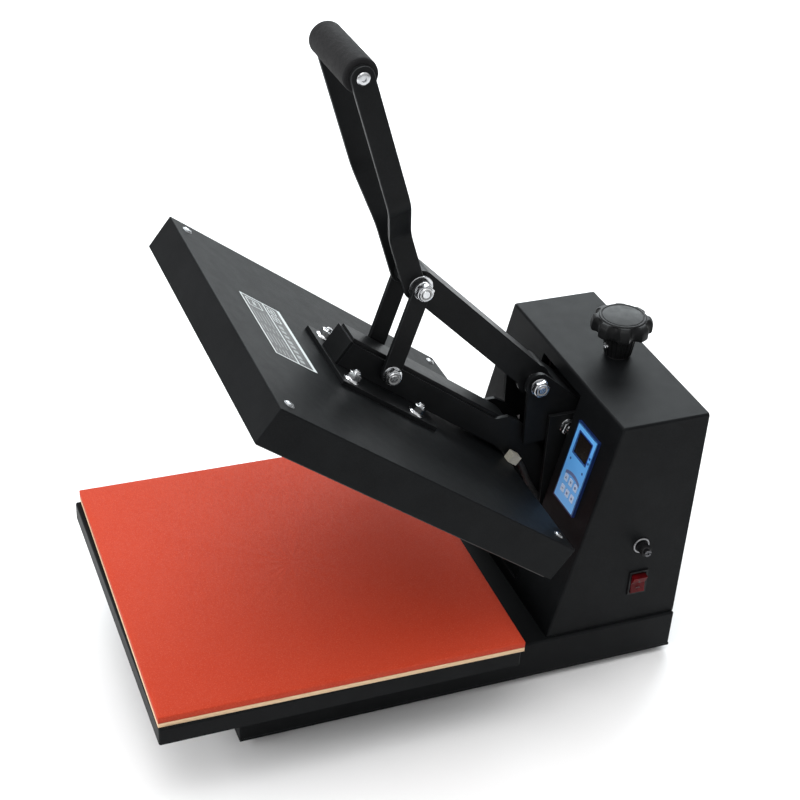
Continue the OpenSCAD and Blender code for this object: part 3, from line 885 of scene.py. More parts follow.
    def done(
        self, *nodes: str, rim: float = 0.0, rims: int = 2, smooth: float = 32.0, body: str = ""
    ) -> bpy.types.Object:
        """Finish the piece and let it stand for its nodes.

        Args:
            nodes: The nodes the piece replaces, the first giving its body.
            rim: Width, in millimetres, of the softening on the sharp edges.
            rims: Steps across that softening.
            smooth: Angle, in degrees, above which an edge stays sharp.
            body: The body to ride on where it replaces no node.

        Returns:
            The finished object.
        """
        bmesh.ops.scale(self.bm, vec=(MM,) * 3, verts=self.bm.verts)
        mesh = bpy.data.meshes.new(self.name)
        bmesh.ops.recalc_face_normals(self.bm, faces=self.bm.faces)
        self.bm.to_mesh(mesh)
        self.bm.free()
        for finish in self.finishes:
            mesh.materials.append(finish.material())
        for face in mesh.polygons:
            face.use_smooth = True
        mesh.set_sharp_from_angle(angle=math.radians(smooth))
        piece = bpy.data.objects.new(self.name, mesh)
        bpy.context.scene.collection.objects.link(piece)
        if rim:
            soft = piece.modifiers.new("rim", "BEVEL")
            soft.width = rim * MM
            soft.segments = rims
            soft.limit_method = "ANGLE"
            soft.angle_limit = math.radians(smooth)
            soft.harden_normals = True
            soft.use_clamp_overlap = True
            # Softened edges take the first finish's edge version; for powder paint that is a lighter colour, partly
            # rubbed paint and partly painted highlight.
            edge = self.finishes[0].rim()
            if edge is not None:
                mesh.materials.append(edge.material())
                soft.material = len(mesh.materials) - 1
        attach(piece, body or body_of_node(nodes[0]))
        if nodes:
            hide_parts(*nodes)
        log.info("piece %s for %s", self.name, ", ".join(nodes) or body)
        return piece


def sheet_piece(
    node: str, finish: Finish, fold: float = 0.0, rim: float = 0.5, segments: int = 4,
) -> bpy.types.Object:
    """Make one node's finished piece from its own shape.

    Args:
        node: The node to stand for.
        finish: The surface finish.
        fold: Radius of its outside folds.
        rim: Softening of its cut edges.
        segments: Steps round each fold.

    Returns:
        The finished object.
    """
    forge = Forge(node + "_skin")
    forge.copy_node(node, finish, fold, segments)
    piece = forge.done(node, rim=rim)
    even = piece.modifiers.new("even", "WEIGHTED_NORMAL")
    even.keep_sharp = True
    return piece


def dress(node: str, finish: Finish) -> None:
    """Give a node that keeps its own shape a finish.

    Args:
        node: The node.
        finish: The surface finish.
    """
    mesh = frame["nodes"][node].data
    mesh.materials.clear()
    mesh.materials.append(finish.material())
    log.info("node %s dressed in %s", node, finish.name)


# ---------------------------------------------------------------------------
# Hardware
# ---------------------------------------------------------------------------


def thread(r: float, start: float, end: float, pitch: float = 1.25, depth: float = 0.55) -> list[Point2]:
    """Return the profile of a threaded end with a chamfered tip.

    Args:
        r: Outer radius.
        start: Height where the thread begins.
        end: Height of the tip.
        pitch: Height of one turn.
        depth: Depth of the grooves.

    Returns:
        The profile, for a lathe.
    """
    line: list[Point2] = [(0, start)]
    z = start
    while z + pitch < end - 0.8:
        line += [(r - depth, z), (r, z + pitch / 2)]
        z += pitch
    return line + [(r - depth, z), (r - depth, end - 0.7), (r - depth - 0.7, end), (0, end)]


@dataclass
class M10End:
    """Washer and locking nut on the end of an M10 bolt."""

    flats: float = 17.0
    washer_r: float = 10.0
    washer_t: float = 1.5
    nut_h: float = 6.0
    height: float = 9.0

    def add(self, forge: Forge, place: Matrix, turn: float = 0.0) -> None:
        """Add the end at a place whose +Z points out of the machine.

        Args:
            forge: The piece it joins.
            place: Where the washer's inner face lies.
            turn: Turn of the hexagon, in degrees.
        """
        t, r = self.washer_t, self.washer_r
        forge.lathe([(5, 0), (r - 0.3, 0), (r, 0.3), (r, t - 0.35), (r - 0.35, t), (5, t), (5, 0)], place, ZINC)
        seat = spun(place @ Matrix.Translation((0, 0, t)), turn)
        top = self.height - t
        forge.hexagon(self.flats, self.nut_h, seat, ZINC, 7.2)
        forge.lathe(
            [(7.4, self.nut_h - 0.7), (7.3, top - 0.9), (6.5, top), (5.9, top), (5.9, top - 1.2), (5.3, top - 1.2),
             (5.3, self.nut_h - 0.7), (7.4, self.nut_h - 0.7)],
            seat, ZINC,
        )
        forge.lathe(
            [(5.9, top - 1.1), (5.85, top - 0.5), (4.6, top - 0.5), (4.6, top - 1.1), (5.9, top - 1.1)], seat,
            NYLON, 36,
        )
        forge.lathe(thread(4.9, self.nut_h - 1, top + 0.1), seat, ZINC, 36)


def screw_head(forge: Forge, place: Matrix, r: float, h: float, finish: Finish) -> None:
    """Add a domed screw head whose cross recess is thin dark strips: painted shade.

    Args:
        forge: The piece it joins.
        place: Where its underside lies, +Z outward.
        r: Radius.
        h: Height.
        finish: The surface finish.
    """
    dome = [(0.0, 0.0), (r * 0.97, 0.0), (r, h * 0.16)]
    dome += [(r * math.cos(a), h * (0.2 + 0.8 * math.sin(a))) for a in (math.radians(15 * i) for i in range(1, 5))]
    dip = [(r * 0.30, h * 0.985), (r * 0.24, h * 0.5), (0, h * 0.42)]
    forge.lathe(dome + dip, place, finish, 40)
    # Thin dark strips laid on the dome: painted shade of the cross recess.
    for quarter in range(4):
        arm = spun(place, 90 * quarter + 20)
        slot_shade = [(r * 0.16, -r * 0.075), (r * 0.52, -r * 0.06), (r * 0.52, r * 0.06), (r * 0.16, r * 0.075)]
        forge.prism(slot_shade, h * 0.06, arm @ Matrix.Translation((0, 0, h * 0.955)), BLACK_PLASTIC)


# ---------------------------------------------------------------------------
# Sub-assemblies
# ---------------------------------------------------------------------------


@dataclass
class BaseAndTray:
    """Base frame, feet, rails, lower platen and its soft sheets."""

    fold: float = 2.4
    pad_skew: float = -0.89
    pad_w: float = 381.0
    pad_l: float = 386.0
    crown: float = 0.22

    def build(self) -> None:
        """Build every piece of the base."""
        sheet_piece("base_frame", STEEL, self.fold, 0.3)
        sheet_piece("base_plate", STEEL, 0.0, 0.4)
        sheet_piece("tray_rails", STEEL, 1.8, 0.3)
        sheet_piece("lower_platen", STEEL, self.fold, 0.4)
        self.feet()
        self.soft_sheet("pad_underlay", PAD_UNDER, 0.35, 0.15)
        pad = self.soft_sheet("silicone_pad", PAD_RED, 0.9, self.crown)

    def feet(self) -> None:
        """Build the four feet, each with a dished underside and its screw."""
        forge = Forge("rubber_feet_turned")
        low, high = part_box("rubber_feet")
        r = 16.0
        for x in (low.x / MM + r, high.x / MM - r):
            for y in (low.y / MM + r, high.y / MM - r):
                place = Matrix.Translation((x, y, 0))
                forge.lathe(
                    [(6, 0), (13.4, 0), (14.2, 0.7), (15.6, 6.6), (15.4, 7.4), (14.6, 8), (3, 8), (3, 4),
                     (5.6, 4), (6, 3.6), (6, 0)],
                    place, RUBBER,
                )
                forge.lathe([(0, 2.2), (4.2, 2.2), (5.0, 2.9), (5.2, 4.0), (0, 4.0)], place, ZINC, 32)
        forge.done("rubber_feet")

    def soft_sheet(self, node: str, finish: Finish, edge: float, crown: float) -> bpy.types.Object:
        """Build a loose sheet with eased edges and a barely uneven top.

        Args:
            node: The sheet's node.
            finish: The surface finish.
            edge: Radius of the eased edges.
            crown: Height of the unevenness.

        Returns:
            The finished object.
        """
        low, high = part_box(node)
        centre = (low + high) / 2 / MM
        t = (high.z - low.z) / MM
        place = spun(Matrix.Translation((centre.x, centre.y, low.z / MM)), self.pad_skew)
        forge = Forge(node + "_sheet")
        w, l = self.pad_w / 2, self.pad_l / 2
        count = 48
        rings = []
        inset = [(edge * 0.5, 0.0), (0.0, edge * 0.5), (0.0, t - edge), (edge * 0.3, t - edge * 0.3), (edge, t)]
        inset += [(edge + (w - edge) * k / 24, t) for k in range(1, 24)]
        for side, z in inset:
            ring = []
            for i in range(4 * count):
                leg, s = divmod(i, count)
                u = 2 * s / count - 1
                x, y = [(u, -1), (1, u), (-u, 1), (-1, -u)][leg]
                ripple = crown * math.sin(0.031 * x * w + 1.3) * math.sin(0.027 * y * l + 0.4)
                lift = -abs(ripple) if z >= t else 0.0
                reach = l - (side * l / w if side > edge else side)
                ring.append(place @ Vector((x * (w - side), y * reach, z + lift)))
            rings.append(ring)
        forge.grid(rings, finish, False, True)
        return forge.done(node, smooth=60)


@dataclass
class Column:
    """Housing, rear cover, mast and the pieces set into its walls."""

    fold: float = 2.6

    def build(self) -> None:
        """Build every piece of the column."""
        sheet_piece("column_housing", STEEL, self.fold, 0.25)
        sheet_piece("rear_cover", STEEL, 0.0, 0.3)
        sheet_piece("mast_frame", PLATE_STEEL, 0.0, 0.6)
        sheet_piece("power_inlet", BLACK_PLASTIC, 0.0, 0.5)
        self.rear_screws()
        self.guide_bolt()
        self.bushing()
        self.fuse()
        self.switch()
        for node, finish in (
            ("mast_bolts", ZINC), ("hinge_shaft", GROUND), ("controller_board", CIRCUIT),
            ("solid_state_relay", RELAY), ("internal_wiring", WIRE),
        ):
            dress(node, finish)

    def rear_screws(self) -> None:
        """Build the rear cover's six screws."""
        forge = Forge("rear_screws_turned")
        low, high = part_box("rear_screws")
        y = high.y / MM - 2.0
        zs = (low.z / MM + 4, 190.0, high.z / MM - 4)
        for x in (low.x / MM + 4, high.x / MM - 4):
            for z in zs:
                place = spun(Matrix.Translation((x, y, z)), -90, "X")
                screw_head(forge, place, 4.0, 1.9, ZINC)
        forge.done("rear_screws")

    def guide_bolt(self) -> None:
        """Build the bolt that guides the yoke between the mast plates."""
        forge = Forge("guide_bolt_turned")
        low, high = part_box("guide_bolt")
        centre = (low + high) / 2 / MM
        reach = high.x / MM
        for side in SIDES:
            place = facing_x(centre.y, centre.z, reach - 7.5, side)
            forge.lathe([(5, 0), (9.7, 0), (10, 0.3), (10, 1.2), (9.7, 1.5), (5, 1.5), (5, 0)], place, ZINC)
            seat = spun(place @ Matrix.Translation((0, 0, 1.5)), 12)
            forge.hexagon(17, 5.4, seat, ZINC, 5.2)
            forge.lathe(thread(4.8, 3, 6.0), seat, ZINC, 36)
        shank = facing_x(centre.y, centre.z, -(reach - 8))
        forge.lathe(rod(5, 2 * reach - 16), shank, ZINC, 36)
        forge.done("guide_bolt")

    def bushing(self) -> None:
        """Build the flanged bushing the pressure screw runs in."""
        forge = Forge("screw_bushing_turned")
        low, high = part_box("screw_bushing")
        c = (low + high) / 2 / MM
        place = Matrix.Translation((c.x, c.y, low.z / MM))
        h = (high.z - low.z) / MM
        forge.lathe(
            [(6.05, 0), (8.6, 0), (9, 0.4), (9, h - 1.5), (12.6, h - 1.5), (13, h - 1.1), (12.8, h - 0.2), (12.4, h),
             (6.4, h), (6.05, h - 0.4), (6.05, 0)],
            place, OXIDE,
        )
        forge.done("screw_bushing")

    def fuse(self) -> None:
        """Build the fuse holder's bright ring and its cap, the groove in the cap's end drawn as thin dark strips:
        painted shade.
        """
        at = middle("fuse_holder")
        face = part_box("column_housing")[1].x / MM
        place = facing_x(at.y, at.z, face)
        ring = Forge("fuse_holder_turned")
        ring.lathe(
            [(7.6, 0), (9.2, 0), (9.5, 0.3), (9.5, 1.3), (9.0, 1.9), (8.2, 2.0), (7.7, 1.7), (7.6, 0)], place,
            DULL_RING,
        )
        ring.lathe(
            [(5.2, -22), (7.5, -22), (7.5, 1.2), (7.2, 1.4), (5.2, 1.4), (5.2, -22)], place, BLACK_PLASTIC,
        )
        ring.done("fuse_holder")
        cap = Forge("fuse_cap_turned")
        cap.lathe([(0, -19), (4.6, -19), (5, -18.5), (5, 2.4), (0, 2.4)], place, BLACK_PLASTIC)
        steps = 96
        rows = [(0.0, 2.3), (0.0, 2.4), (0.0, 11.6), (0.6, 12.6), (1.4, 13.0)]
        rings = [
            polar(place, steps, lambda a, inset=inset: 6.4 - inset - 0.28 * (0.5 + 0.5 * math.cos(24 * a)), z)
            for inset, z in rows
        ]
        cap.grid(rings, BLACK_PLASTIC, False, True)
        cap.lathe(
            [(0, 12.8), (4.1, 12.8), (4.2, 13.2), (4.1, 15.8), (3.7, 16.3), (1.4, 16.5), (1.2, 15.2), (0, 15.2)],
            place, DARK_TIP, 48,
        )
        # Two thin dark strips on the cap's end: painted shade of its groove.
        for side in SIDES:
            slot_shade = place @ Matrix.Translation((0, 0, 16.4))
            half = [(-0.5, side * 1.4), (0.5, side * 1.4), (0.5, side * 3.6), (-0.5, side * 3.6)]
            cap.prism(half[::side], 0.08, slot_shade, BLACK_PLASTIC)
        cap.done("fuse_cap")

    def switch(self) -> None:
        """Build the power switch: housing and rocker with its two marks."""
        sheet_piece("switch_housing", BLACK_PLASTIC, 0.0, 0.7)
        forge = Forge("rocker_lens")
        forge.copy_node("rocker", RED_LENS)
        piece = forge.done("rocker", rim=0.6, rims=3)
        at = Vector(joint("rocker_turn")["pos_m"]) / MM
        marks = Forge("rocker_marks")
        rest = spun(Matrix.Translation(at), 9, "Y")
        upper = spun(rest @ Matrix.Translation((6.98, 0, 5.6)), 74, "Y")
        lower = spun(rest @ Matrix.Translation((6.98, 0, -5.6)), 106, "Y")
        marks.prism([(-2.2, -0.6), (2.2, -0.6), (2.2, 0.6), (-2.2, 0.6)], 0.12, upper, LABEL_GREY)
        marks.prism(circle(0, 0, 2.4), 0.12, lower, LABEL_GREY, [circle(0, 0, 1.5)[::-1]])
        done = marks.done(body="power_rocker")
        log.info("rocker marks ride with %s", piece.name)


@dataclass
class ControlPanel:
    """Membrane panel on the column's sloping front."""

    x: Point2 = (61.0, 106.0)
    z: Point2 = (141.0, 235.0)
    window_x: Point2 = (70.0, 97.0)
    window_z: Point2 = (201.5, 226.0)
    key_x: tuple[float, ...] = (74.0, 84.5, 95.0)
    key_z: tuple[float, ...] = (171.0, 157.5)
    key_size: Point2 = (7.0, 8.0)
    proud: float = 3.2
    gap: float = 0.3
    places: list[Point2] = field(default_factory=list)

    def face(self, height: float) -> Matrix:
        """Return the panel's face: local X to the right, Y up the slope, Z outward."""
        out = Matrix.Rotation(math.radians(90), 4, "X")
        return PLACE.front() @ Matrix.Translation((0, -height, 0)) @ out

    def build(self) -> None:
        """Build bezel, film, window, lamps and keys."""
        self.places = [(x, z) for z in self.key_z for x in self.key_x]
        self.bezel()
        self.window()
        for index, spot in enumerate(self.places):
            self.key(index, spot)

    def bezel(self) -> None:
        """Build the bezel's body and the printed film on it."""
        forge = Forge("control_bezel_moulded")
        forge.copy_node("control_bezel", PANEL_SIDE)
        w, h = self.key_size
        holes = [frame_round(self.window_x, self.window_z, 0.4, 0.8)[::-1]]
        for x, z in self.places:
            holes.append(frame_round((x - w / 2, x + w / 2), (z - h / 2, z + h / 2), 0.45, 0.6)[::-1])
        outline = frame_round(self.x, self.z, -1.1, 1.2, 5)
        forge.prism(outline, 0.22, self.face(self.proud), PANEL_FILM, holes)
        band = self.face(self.proud + 0.22)
        frame_out = frame_round(self.window_x, self.window_z, 1.9, 1.2)
        forge.prism(
            frame_out, 0.05, band, PANEL_DOT, [frame_round(self.window_x, self.window_z, 0.4, 0.8)[::-1]],
        )
        forge.prism(outline, 0.05, band, PANEL_SIDE, [frame_round(self.x, self.z, -2.0, 1.0, 5)[::-1]])
        sweep = arc(84.5, 150, 32, 118, 62, 16) + arc(84.5, 146, 32, 62, 118, 16)
        forge.prism(sweep[::-1], 0.05, band, PANEL_BAND)
        for x, z in ((69.5, 192.8), (97.5, 190.8), (101.2, 206), (101.2, 212)):
            forge.prism(circle(x, z, 1.5, 20), 0.06, band, PANEL_DOT)
        forge.done("control_bezel", rim=0.12, rims=1)

    def window(self) -> None:
        """Build the tinted window behind a thin frame."""
        forge = Forge("display_window_tinted")
        forge.prism(
            frame_round(self.window_x, self.window_z, 0.0, 0.5, 2), self.proud - 2.0, self.face(1.4), WINDOW,
        )
        forge.done("display_window", rim=0.2)

    def key(self, index: int, spot: Point2) -> None:
        """Build one key with its mark.

        Args:
            index: The key's number, from zero.
            spot: Its middle on the panel.
        """
        x, z = spot
        w, h = self.key_size
        node = f"key_{index + 1}"
        forge = Forge(node + "_cap")
        pad = frame_round((x - w / 2, x + w / 2), (z - h / 2, z + h / 2), 0.0, 0.5)
        forge.prism(pad, self.proud - 0.5, self.face(1.0), KEY_FILM)
        mark = self.face(self.proud + 0.46)
        signs: list[list[Point2]] = [
            [(x - 1.9, z - 1.3), (x + 1.9, z - 1.3), (x, z + 1.7)],
            [(x - 1.9, z + 1.3), (x, z - 1.7), (x + 1.9, z + 1.3)],
            circle(x, z, 1.7, 20),
            [(x - 2.0, z - 0.45), (x + 2.0, z - 0.45), (x + 2.0, z + 0.45), (x - 2.0, z + 0.45)],
            [(x - 1.4, z - 1.4), (x + 1.4, z - 1.4), (x + 1.4, z + 1.4), (x - 1.4, z + 1.4)],
            [(x, z - 1.9), (x + 1.9, z), (x, z + 1.9), (x - 1.9, z)],
        ]
        forge.prism(signs[index], 0.1, mark, PANEL_BAND)
        forge.done(node, rim=0.25)


@dataclass
class PressureGear:
    """Yoke, star knob and pressure screw."""

    lobes: int = 8
    knob_r: float = 32.9
    scallop_r: float = 8.6
    scallop_at: float = 36.6

    def build(self) -> None:
        """Build every piece of the pressure gear."""
        sheet_piece("pressure_yoke", PLATE_STEEL, 0.0, 0.6)
        self.pivot_bolt()
        self.knob()
        self.screw()

    def pivot_bolt(self) -> None:
        """Build the upper arm's pivot bolt."""
        forge = Forge("arm_pivot_bolt_turned")
        p = PLACE.crank
        end = M10End()
        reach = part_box("arm_pivot_bolt")[1].x / MM
        inner = reach - end.height - end.washer_t + 1.5
        for side in SIDES:
            end.add(forge, facing_x(p.y, p.z, inner, side), 8 if side > 0 else 20)
            forge.lathe(
                [(5, 16.4), (8.8, 16.4), (9, 16.6), (9, 23.8), (8.8, 24), (5, 24), (5, 16.4)],
                facing_x(p.y, p.z, 0, side), ZINC,
            )
        forge.lathe(rod(5, 2 * inner), facing_x(p.y, p.z, -inner), ZINC, 36)
        forge.done("arm_pivot_bolt")

    def rim_radius(self, angle: float) -> float:
        """Return the knob's radius at an angle, lobes joined by round scallops."""
        step = 2 * math.pi / self.lobes
        phi = (angle + step / 2) % step - step / 2
        d, r = self.scallop_at, self.scallop_r
        inside = r * r - (d * math.sin(phi)) ** 2
        valley = d * math.cos(phi) - math.sqrt(inside) if inside > 0 else d
        k = 1.6
        return -math.log(math.exp(-k * (self.knob_r + 0.25)) + math.exp(-k * valley)) / k

    def knob(self) -> None:
        """Build the star knob, its capped top, fluted hub and set screw."""
        low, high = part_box("pressure_knob")
        c = (low + high) / 2 / MM
        z0, z1 = low.z / MM, high.z / MM
        disc = z1 - 18.5
        place = Matrix.Translation((c.x, c.y, 0))
        forge = Forge("pressure_knob_moulded")
        steps = 192
        rows = [
            (9.0, disc + 0.0), (3.0, disc + 0.4), (1.0, disc + 1.2), (0.2, disc + 2.6), (0.0, disc + 4.5),
            (0.0, disc + 10.5),
            (0.5, disc + 13.0), (1.7, disc + 15.0), (3.6, disc + 16.5), (6.0, disc + 17.2), (7.4, disc + 17.35),
        ]
        rings = []
        for inset, z in rows:
            flat = min(1.0, max(0.0, (inset - 2.5) / 5.0))
            top = (self.knob_r + 0.8 - inset) * flat
            rings.append(polar(place, steps, lambda a: (self.rim_radius(a) - inset) * (1 - flat) + top, z))
        forge.grid(rings, KNOB_BLACK, False, True)
        forge.lathe(
            [(0, disc + 17.0), (26.0, disc + 17.0), (25.6, disc + 17.9), (25.1, disc + 18.3), (24.0, disc + 18.5),
             (23.4, disc + 18.45), (22.9, disc + 18.0), (22.4, disc + 17.95), (21.9, disc + 18.3),
             (21.2, disc + 18.5), (0, disc + 18.5)],
            place, KNOB_BLACK, 96,
        )
        flutes = 20
        hub = []
        for share, z in ((0.0, z0), (0.02, z0 + 0.6), (0.5, (z0 + disc) / 2), (1.0, disc + 1)):
            wall = 14.9 + 4.0 * share - (0.5 if z == z0 else 0)
            hub.append(polar(place, 160, lambda a: wall - 0.9 * max(0.0, math.cos(flutes * a)) ** 0.7, z))
        forge.grid(hub, KNOB_BLACK, False, True)
        spot = spun(spun(Matrix.Translation((c.x, c.y, z0 + 12)), -84), 90, "Y")
        forge.lathe(
            [(0, 13), (3.6, 13), (3.6, 17.4), (3.2, 17.9), (1.9, 17.9), (1.8, 16.9), (0, 16.9)], spot, CHROME,
            32,
        )
        forge.done("pressure_knob", smooth=40)

    def screw(self) -> None:
        """Build the threaded pressure screw."""
        low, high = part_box("pressure_screw")
        c = (low + high) / 2 / MM
        place = Matrix.Translation((c.x, c.y, low.z / MM))
        forge = Forge("pressure_screw_threaded")
        forge.lathe(thread(6.0, 0, (high.z - low.z) / MM, 2.0, 0.8), place, GROUND, 40)
        forge.done("pressure_screw", smooth=50)


@dataclass
class Handle:
    """Upper arm, handle bars, grip and the knee's inner bolt."""

    bar_half: float = 11.5
    bar_set: float = -5.4
    bar_in: float = 16.1
    bar_t: float = 4.5
    jog: Point2 = (64.0, 114.0)
    grip_in: float = 48.5
    length: float = 255.0

    def build(self) -> None:
        """Build every piece of the handle."""
        sheet_piece("upper_arm", PLATE_STEEL, 2.0, 0.5)
        for side, node in zip(SIDES, ("handle_bar_right", "handle_bar_left")):
            self.bar(node, side)
        self.grip()
        self.knee_pin()

    def bar(self, node: str, side: int) -> None:
        """Build one flat bar with its two soft bends and round end.

        Args:
            node: The bar's node.
            side: 1 for the right bar, -1 for the left one.
        """
        mid = self.bar_in + self.bar_t / 2
        out = self.grip_in + self.bar_t / 2
        line = fillet([(mid, 0.0), (mid, self.jog[0]), (out, self.jog[1]), (out, self.length)], 11.0, 8)
        h = self.bar_half
        start = [(mid, -h * math.sin(math.radians(a)), h * math.cos(math.radians(a))) for a in (82, 66, 50, 34, 17)]
        end = [(out, self.length - w, half) for _, w, half in reversed(start)]
        path = start + [(x, w, h) for x, w in line] + end
        forge = Forge(node + "_bent")
        rings = []
        for i, (x, w, half) in enumerate(path):
            a, b = path[max(i - 1, 0)], path[min(i + 1, len(path) - 1)]
            along = Vector((b[0] - a[0], b[1] - a[1])).normalized()
            nx, nw = along.y * self.bar_t / 2, -along.x * self.bar_t / 2
            ring = [
                PLACE.handle() @ Vector((side * (x + sx * nx), self.bar_set + sy * half, w + sx * nw))
                for sx, sy in ((-1, -1), (1, -1), (1, 1), (-1, 1))
            ]
            rings.append(ring)
        forge.grid(rings, PLATE_STEEL, False, True)
        forge.done(node, rim=0.7, rims=3)

    def grip(self) -> None:
        """Build the foam grip on its tube, and the two end screws."""
        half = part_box("foam_grip")[1].x / MM
        place = spun(PLACE.handle() @ Matrix.Translation((-half, self.bar_set, self.length)), 90, "Y")
        foam = Forge("foam_grip_sleeve")
        r = 17.0
        profile = [(11.0, 0.0), (14.6, 0.0), (15.9, 0.5), (16.7, 1.6)]
        profile += [(r - 0.25 * abs(math.sin(i * 0.9)) * 0.5, 3.0 + (2 * half - 6.0) * i / 20) for i in range(21)]
        profile += [
            (16.7, 2 * half - 1.6), (15.9, 2 * half - 0.5), (14.6, 2 * half), (11.0, 2 * half), (11.0, 0.0),
        ]
        foam.lathe(profile, place, GRIP_FOAM, 64)
        foam.done("foam_grip", smooth=60)
        tube = Forge("grip_tube_turned")
        tube.lathe(
            [(4.2, 0.1), (10.6, 0.1), (10.9, 0.5), (10.9, 2 * half - 0.5), (10.6, 2 * half - 0.1),
             (4.2, 2 * half - 0.1), (4.2, 0.1)],
            place, ZINC,
        )
        tube.done("grip_tube")
        screws = Forge("grip_screws_turned")
        seat = self.grip_in + self.bar_t
        for side in SIDES:
            spot = spun(
                PLACE.handle() @ Matrix.Translation((side * seat, self.bar_set, self.length)), 90 * side, "Y",
            )
            screws.lathe(
                [(0, 0), (6.1, 0), (6.5, 0.4), (6.4, 1.5), (5.4, 2.6), (4.2, 3.0), (2.5, 3.0), (2.4, 1.4),
                 (0, 1.4)],
                spot, ZINC, 40,
            )
        screws.done("grip_screws")

    def knee_pin(self) -> None:
        """Build the knee's inner bolt with its two large washers."""
        forge = Forge("toggle_pin_turned")
        p = PLACE.knee
        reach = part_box("toggle_pin")[1].x / MM
        for side in SIDES:
            place = facing_x(p.y, p.z, reach - 1.5, side)
            forge.lathe(
                [(4.8, 0), (12.6, 0), (13, 0.4), (13, 1.1), (12.5, 1.5), (4.8, 1.5), (4.8, 0)], place, ZINC, 64,
            )
        forge.lathe(rod(5, 2 * reach - 0.4), facing_x(p.y, p.z, -(reach - 0.2)), ZINC, 36)
        forge.done("toggle_pin")


@dataclass
class ToggleLinks:
    """The two links with their lower bolt and the knee's nuts."""

    inner: float = 22.4
    outer: float = 27.4

    def build(self) -> None:
        """Build every piece of the links."""
        for node in ("toggle_link_right", "toggle_link_left"):
            sheet_piece(node, PLATE_STEEL, 0.0, 0.6)
        bolt = Forge("link_bolt_turned")
        nuts = Forge("toggle_nuts_turned")
        foot, knee = PLACE.foot, PLACE.knee
        end, wide = M10End(), M10End(washer_r=9.8)
        for side in SIDES:
            end.add(bolt, facing_x(foot.y, foot.z, self.outer, side), 25 if side > 0 else 5)
            wide.add(nuts, facing_x(knee.y, knee.z, self.outer, side), 14 if side > 0 else 22)
            collar = [(5, 20.9), (8.8, 20.9), (9, 21.1), (9, 22.2), (8.8, 22.4), (5, 22.4), (5, 20.9)]
            bolt.lathe(collar, facing_x(foot.y, foot.z, 0, side), ZINC)
            nuts.lathe(rod(5, self.outer - self.inner), facing_x(knee.y, knee.z, self.inner, side), ZINC, 36)
        bolt.lathe(rod(5, 2 * self.outer), facing_x(foot.y, foot.z, -self.outer), ZINC, 36)
        bolt.done("link_bolt")
        nuts.done("toggle_nuts")


